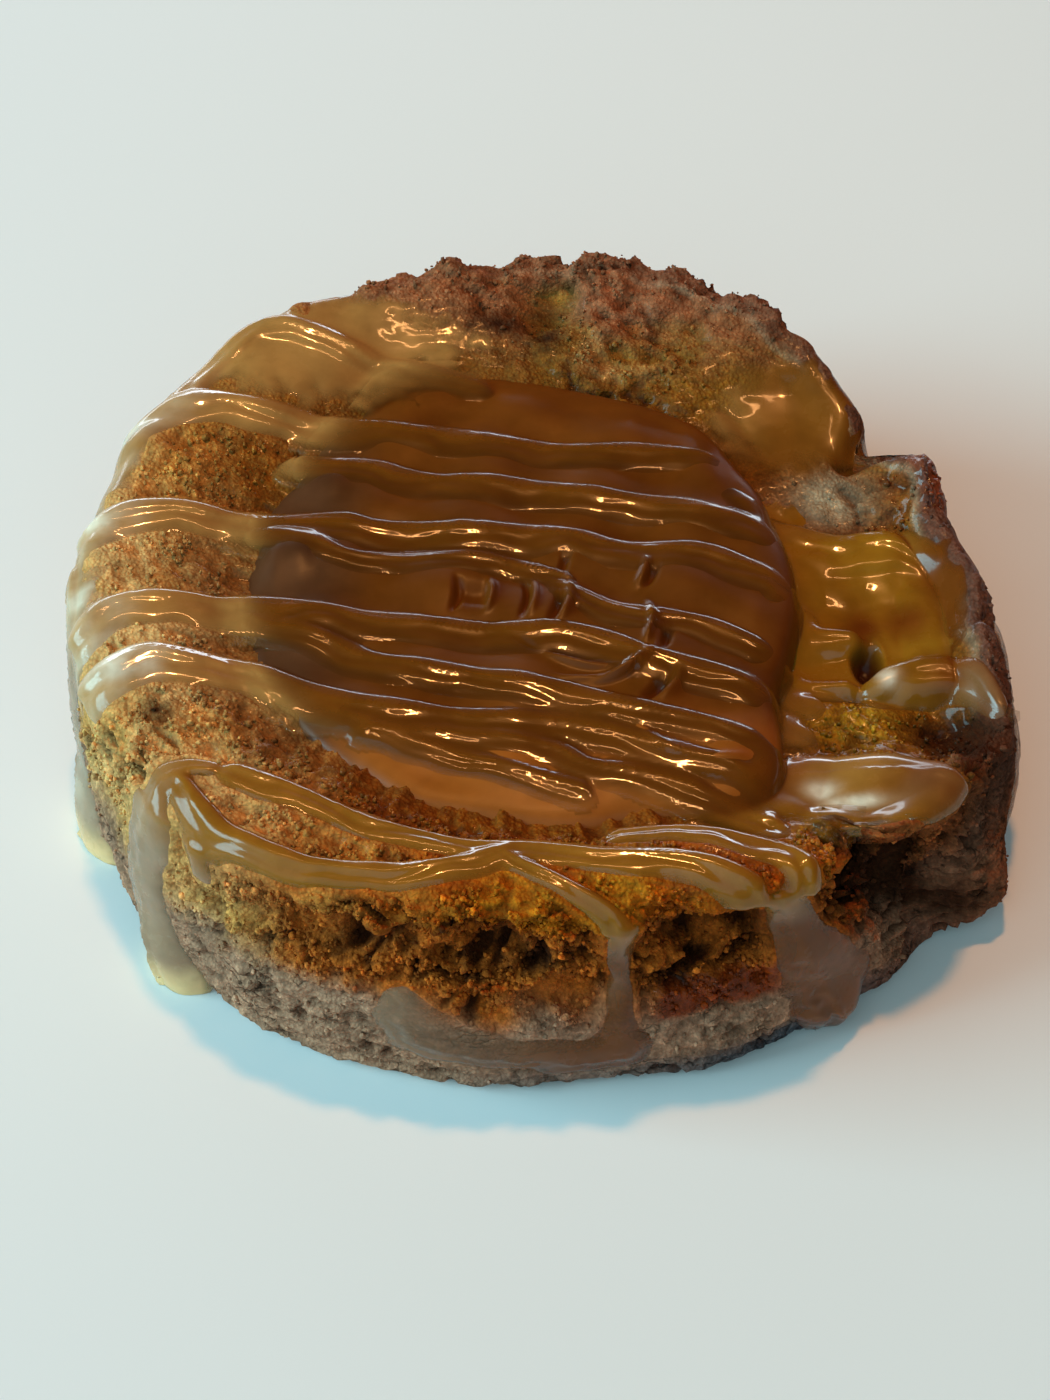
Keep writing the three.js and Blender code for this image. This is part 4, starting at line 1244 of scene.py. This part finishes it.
class CaramelSheet:
    """The caramel's upper face over the chocolate, the gutter and the dough, in millimetres."""

    def __init__(self, sizes, form, dough):
        top, clear = over_chocolate(form, dough)
        under, depth, hole = over_dough(form, dough)
        base = joined_skins(top, under)
        shape = base.shape[:2]
        on_chocolate = np.zeros(shape)
        on_chocolate[:, :CARAMEL_TOP_RINGS] = clear
        on_chocolate[:, CARAMEL_TOP_RINGS:INNER_RINGS] = clear[:, -1:]
        self.on_chocolate = on_chocolate
        self.pooled = np.full(shape, UNSET)
        self.pooled[:, INNER_RINGS:] = depth
        self.pit = np.zeros(shape)
        self.pit[:, INNER_RINGS:] = hole

        inner = base[:, :INNER_RINGS].reshape(-1, 3)
        across = np.repeat(dough.angle, INNER_RINGS)
        thick, filmy = caramel_at(inner, across, np.zeros(len(inner)), sizes, form)
        self.thick = np.concatenate([thick.reshape(-1, INNER_RINGS), dough.thick], axis=1)
        self.filmy = np.concatenate([filmy.reshape(-1, INNER_RINGS), dough.filmy], axis=1)
        self.base = self.levelled(base)
        self.turn = np.broadcast_to(signed(dough.angle)[:, None], shape)
        self.mark_patches()

    def levelled(self, base):
        """The skin with the chocolate's knife marks filled in under the strands."""
        inner = base[:, :INNER_RINGS]
        inward = smoothstep(np.arange(INNER_RINGS), INNER_RINGS - 6, INNER_RINGS - 22)
        under = smoothstep(self.thick[:, :INNER_RINGS], -0.3, 0.1) * inward
        eased = mix(inner, softened(base, 40)[:, :INNER_RINGS], under[..., None])
        eased[..., 2] = np.maximum(eased[..., 2], inner[..., 2] - 0.2)
        return np.concatenate([eased, base[:, INNER_RINGS:]], axis=1)

    def mark_patches(self):
        """Finds the wall, the broken side, film off the pool, the dark over chocolate, brown patches and
        painted shadow.
        """
        x, y, z = (self.base[..., axis] for axis in range(3))
        self.reach = np.linalg.norm(self.base[..., :2], axis=-1)
        self.steep = smoothstep(self.reach, 41, 45) * smoothstep(z, 22, 17)
        self.right = smoothstep(x, 17, 25) * mix(0.5, 1, smoothstep(y, -22, -16))
        self.thin = self.filmy * (self.pooled < 0)
        self.dark = np.clip(softened(self.on_chocolate, 40), 0, 1)
        self.brown = spots_at(self.base, BROWN_AND_PAINTED_SHADOW_SPOTS)

    def raised(self):
        """The caramel's face, which lies below the skin where there is none."""
        outward = normals_of(softened(self.base, 6))
        face = self.base + outward * np.maximum(self.thick, -0.8)[..., None]
        even = near_seam(face.shape[1], 14, 8) * smoothstep(self.base[..., 0], 12, 18)
        face = mix(face, softened(face, 10), even[..., None])
        face[..., 2] -= np.where(self.thick > 0, smoothstep(self.base[..., 2], 3.0, 1.0), 0.0)
        face[..., 2] = np.maximum(face[..., 2], 0.05)
        face[:, 0] = face[:, 0].mean(axis=0)
        return face

    def tint(self, colours):
        x, y, z = (self.base[..., axis] for axis in range(3))
        # Painted sheen: pale reflections at the left rim and in the patches on the tongue and the loop
        painted_sheen = 0.25 * smoothstep(self.reach, 37, 41) * smoothstep(x, -31, -37) * (1 - self.steep)
        painted_sheen = np.maximum(painted_sheen, 1.3 * spots_at(self.base, PAINTED_SHEEN_SPOTS))
        off_chocolate = 0.8 * self.right * (1 - self.on_chocolate)
        shares = (
            ("front_caramel", smoothstep(y, -23, -30)),
            ("dark_caramel", self.dark),
            ("amber_caramel", self.dark * smoothstep(self.thick, 0.05, 0.55)),
            ("pool_caramel", np.maximum(smoothstep(self.pooled, 0.0, 1.0), off_chocolate)),
            ("brown_caramel", self.right * self.thin * mix(1, 0.8, smoothstep(y, 8, 16))),
            # Brown patches, two of them painted shadow above the pool's hole
            ("brown_caramel", self.brown),
            ("wall_caramel", self.steep),
            ("brown_caramel", self.steep * smoothstep(x, -26, 8)),
            ("painted_sheen_caramel", painted_sheen * (0.7 + 0.6 * noise_at(self.base, 2.0, 3, 24))),
            ("tip_caramel", self.steep * smoothstep(z, 4.5, 1.0) * smoothstep(x, -5, -25)),
            # Painted shade in the pool's hole
            ("hollow", 1.2 * self.pit),
        )
        return layered(colours, "caramel", shares, self.base.shape)

    def cover(self):
        """How much of what is below the caramel hides, from 0 to 1."""
        cover = np.interp(np.maximum(self.thick, self.pooled), COVER_THICKNESSES, COVERS)
        cover = mix(cover, 0.95 * smoothstep(self.thick, 0.0, 0.3), self.thin)
        unrolled = np.stack([self.turn, self.base[..., 2]], axis=-1)
        return cover * mix(1.0, 0.95, self.steep) * (1 - 0.75 * spots_at(unrolled, FADING_SPOTS))

    def gloss(self):
        """How wet the caramel looks, from 0 to 1."""
        dull_and_painted_sheen = np.maximum(self.steep, 0.8 * smoothstep(self.reach, 40, 43.5))
        dull_and_painted_sheen = dull_and_painted_sheen * mix(1.0, 0.75, smoothstep(self.base[..., 0], 0, 12))
        gloss = mix(1.0, 0.25, dull_and_painted_sheen) * mix(1.0, mix(0.5, 0.2, self.right), self.filmy)
        gloss = gloss * mix(1.0, 0.65, self.dark) * (1 - self.pit) * (1 - 0.7 * self.brown)
        return gloss * mix(1.0, 0.6, smoothstep(self.pooled, 0.0, 0.4))


class COOKIE_OT_caramel(bpy.types.Operator):
    """Model the caramel: strands, films, drips and the pool in the gutter"""

    bl_idname = "cookie.caramel"
    bl_label = "Caramel"

    def execute(self, context):
        sizes = context.scene.cookie_sizes
        form = CookieForm(sizes)
        sheet = CaramelSheet(sizes, form, DoughSkin(sizes, form))
        piece, spots = skin_piece("caramel", sheet.raised())
        add_tint(piece, sheet.tint(context.scene.cookie_colours)[spots])
        add_attribute(piece, "cover", sheet.cover()[spots])
        add_attribute(piece, "gloss", sheet.gloss()[spots])
        bare = (sheet.thick <= KEPT_ABOVE) & (sheet.pooled <= KEPT_ABOVE)
        drop_points(piece, bare[spots])
        close_skin(piece)
        thicken(piece)
        keep_in_box(piece)
        finish_piece(piece, caramel_material(), "caramel", "caramel_pool")
        return {"FINISHED"}


def thicken(piece):
    """Gives a sheet its thickness below, with the hidden side thinned out."""
    piece.vertex_groups.new(name=HIDDEN_SIDE)
    solidify = piece.modifiers.new("Thickness", "SOLIDIFY")
    solidify.thickness = CARAMEL_SHELL * MM
    solidify.offset = -1.0
    solidify.shell_vertex_group = HIDDEN_SIDE
    bpy.ops.object.modifier_apply(modifier=solidify.name)
    thin = piece.modifiers.new("Thinned", "DECIMATE")
    thin.vertex_group = HIDDEN_SIDE
    thin.ratio = FACES_LEFT
    bpy.ops.object.modifier_apply(modifier=thin.name)


def drop_points(piece, gone):
    """Deletes the points of a piece that are marked as gone, with their faces."""
    bpy.ops.object.mode_set(mode="EDIT")
    bpy.ops.mesh.select_mode(type="VERT")
    bpy.ops.mesh.select_all(action="DESELECT")
    bpy.ops.object.mode_set(mode="OBJECT")
    piece.data.vertices.foreach_set("select", gone)
    bpy.ops.object.mode_set(mode="EDIT")
    bpy.ops.mesh.delete(type="VERT")
    bpy.ops.mesh.select_all(action="SELECT")
    bpy.ops.mesh.delete_loose()
    bpy.ops.object.mode_set(mode="OBJECT")


# Stage

CAMERA_RISE = 47.8
CAMERA_DISTANCE = 0.24
FOCAL_PIXELS = 2300
IMAGE_SIZE = (1050, 1400)
MIDDLE_PIXEL = (542, 721)
SENSOR_HEIGHT = 36

# Light panels: name, place, the point that they face, size, power and colour.
PANELS = (
    ("lamp", (0.005, 0.10, 0.62), (0, 0, 0), (0.05, 0.03), 1.45, (1.0, 0.41, 0.12)),
    ("long lamp", (0.0, 0.10, 0.62), (0, 0, 0), (0.45, 0.012), 1.1, (1.0, 0.45, 0.16)),
    ("window", (-0.1, 0.75, 0.09), (0, 0, 0.02), (1.1, 0.12), 3.2, (0.76, 0.90, 1.0)),
    ("front", (-0.3, -0.8, 0.8), (0, 0, 0.01), (2.2, 1.5), 10.0, (0.50, 0.88, 1.0)),
    ("left", (-1.3, -0.15, 0.60), (0, 0, 0.01), (0.9, 0.6), 22.5, (0.46, 0.88, 1.0)),
)
GLINTS_ONLY = "long lamp"  # the panel that lights no matt surface


def add_panel(name, place, aim, size, power, tint):
    """A soft light panel turned towards a point."""
    bpy.ops.object.light_add(type="AREA", location=place)
    lamp = bpy.context.object
    lamp.name = name
    lamp.data.shape = "RECTANGLE"
    lamp.data.size, lamp.data.size_y = size
    lamp.data.energy = power
    lamp.data.color = tint
    lamp.rotation_euler = (Vector(aim) - Vector(place)).to_track_quat("-Z", "Y").to_euler()
    return lamp


class COOKIE_OT_stage(bpy.types.Operator):
    """Set the pale floor, the light and the camera"""

    bl_idname = "cookie.stage"
    bl_label = "Stage"

    def execute(self, context):
        scene = context.scene
        colours = scene.cookie_colours
        bpy.ops.object.select_all(action="DESELECT")
        bpy.ops.mesh.primitive_plane_add(size=4.0, location=(0, 0, 0))
        floor = context.object
        floor.name = "floor"
        material, tree, shader = new_material("Pale floor")
        shader.inputs["Base Color"].default_value = (*colours.floor, 1.0)
        shader.inputs["Roughness"].default_value = 0.7
        shader.inputs["Specular IOR Level"].default_value = 0.2
        floor.data.materials.append(material)

        world = bpy.data.worlds.new("Studio")
        scene.world = world
        world.use_nodes = True
        background = world.node_tree.nodes["Background"]
        background.inputs["Color"].default_value = (1.0, 0.75, 0.45, 1.0)
        background.inputs["Strength"].default_value = 0.07
        scene.view_settings.view_transform = "Standard"

        for name, *setting in PANELS:
            panel = add_panel(name, *setting)
            panel.visible_diffuse = name != GLINTS_ONLY

        camera = bpy.data.objects.new("camera", bpy.data.cameras.new("camera"))
        scene.collection.objects.link(camera)
        rise = math.radians(CAMERA_RISE)
        camera.location = (0, -CAMERA_DISTANCE * math.cos(rise), CAMERA_DISTANCE * math.sin(rise))
        camera.rotation_euler = (math.pi / 2 - rise, 0, 0)
        camera.data.sensor_fit = "VERTICAL"
        camera.data.sensor_height = SENSOR_HEIGHT
        camera.data.lens = SENSOR_HEIGHT * FOCAL_PIXELS / IMAGE_SIZE[1]
        camera.data.shift_x = (IMAGE_SIZE[0] / 2 - MIDDLE_PIXEL[0]) / IMAGE_SIZE[1]
        camera.data.shift_y = (MIDDLE_PIXEL[1] - IMAGE_SIZE[1] / 2) / IMAGE_SIZE[1]
        camera.data.clip_start = 0.001
        scene.camera = camera
        return {"FINISHED"}


class COOKIE_PT_panel(bpy.types.Panel):
    """Lists the cookie's pieces, sizes and colours"""

    bl_idname = "COOKIE_PT_panel"
    bl_label = "Caramel cookie"
    bl_space_type = "VIEW_3D"
    bl_region_type = "UI"
    bl_category = "Cookie"

    def draw(self, context):
        for operator in OPERATORS:
            self.layout.operator(operator.bl_idname)
        for group in (context.scene.cookie_sizes, context.scene.cookie_colours):
            for name in group.bl_rna.properties.keys():
                if name not in ("rna_type", "name"):
                    self.layout.prop(group, name)


OPERATORS = (COOKIE_OT_dough, COOKIE_OT_crumbs, COOKIE_OT_chocolate, COOKIE_OT_caramel, COOKIE_OT_stage)
CLASSES = (CookieSizes, CookieColours, *OPERATORS, COOKIE_PT_panel)


def register():
    for each in CLASSES:
        bpy.utils.register_class(each)
    bpy.types.Scene.cookie_sizes = bpy.props.PointerProperty(type=CookieSizes)
    bpy.types.Scene.cookie_colours = bpy.props.PointerProperty(type=CookieColours)


def unregister():
    del bpy.types.Scene.cookie_colours
    del bpy.types.Scene.cookie_sizes
    for each in reversed(CLASSES):
        bpy.utils.unregister_class(each)


def main():
    register()
    bpy.ops.cookie.dough()
    bpy.ops.cookie.crumbs()
    bpy.ops.cookie.chocolate()
    bpy.ops.cookie.caramel()
    bpy.ops.cookie.stage()
    bpy.context.view_layer.update()


if __name__ == "__main__":
    main()
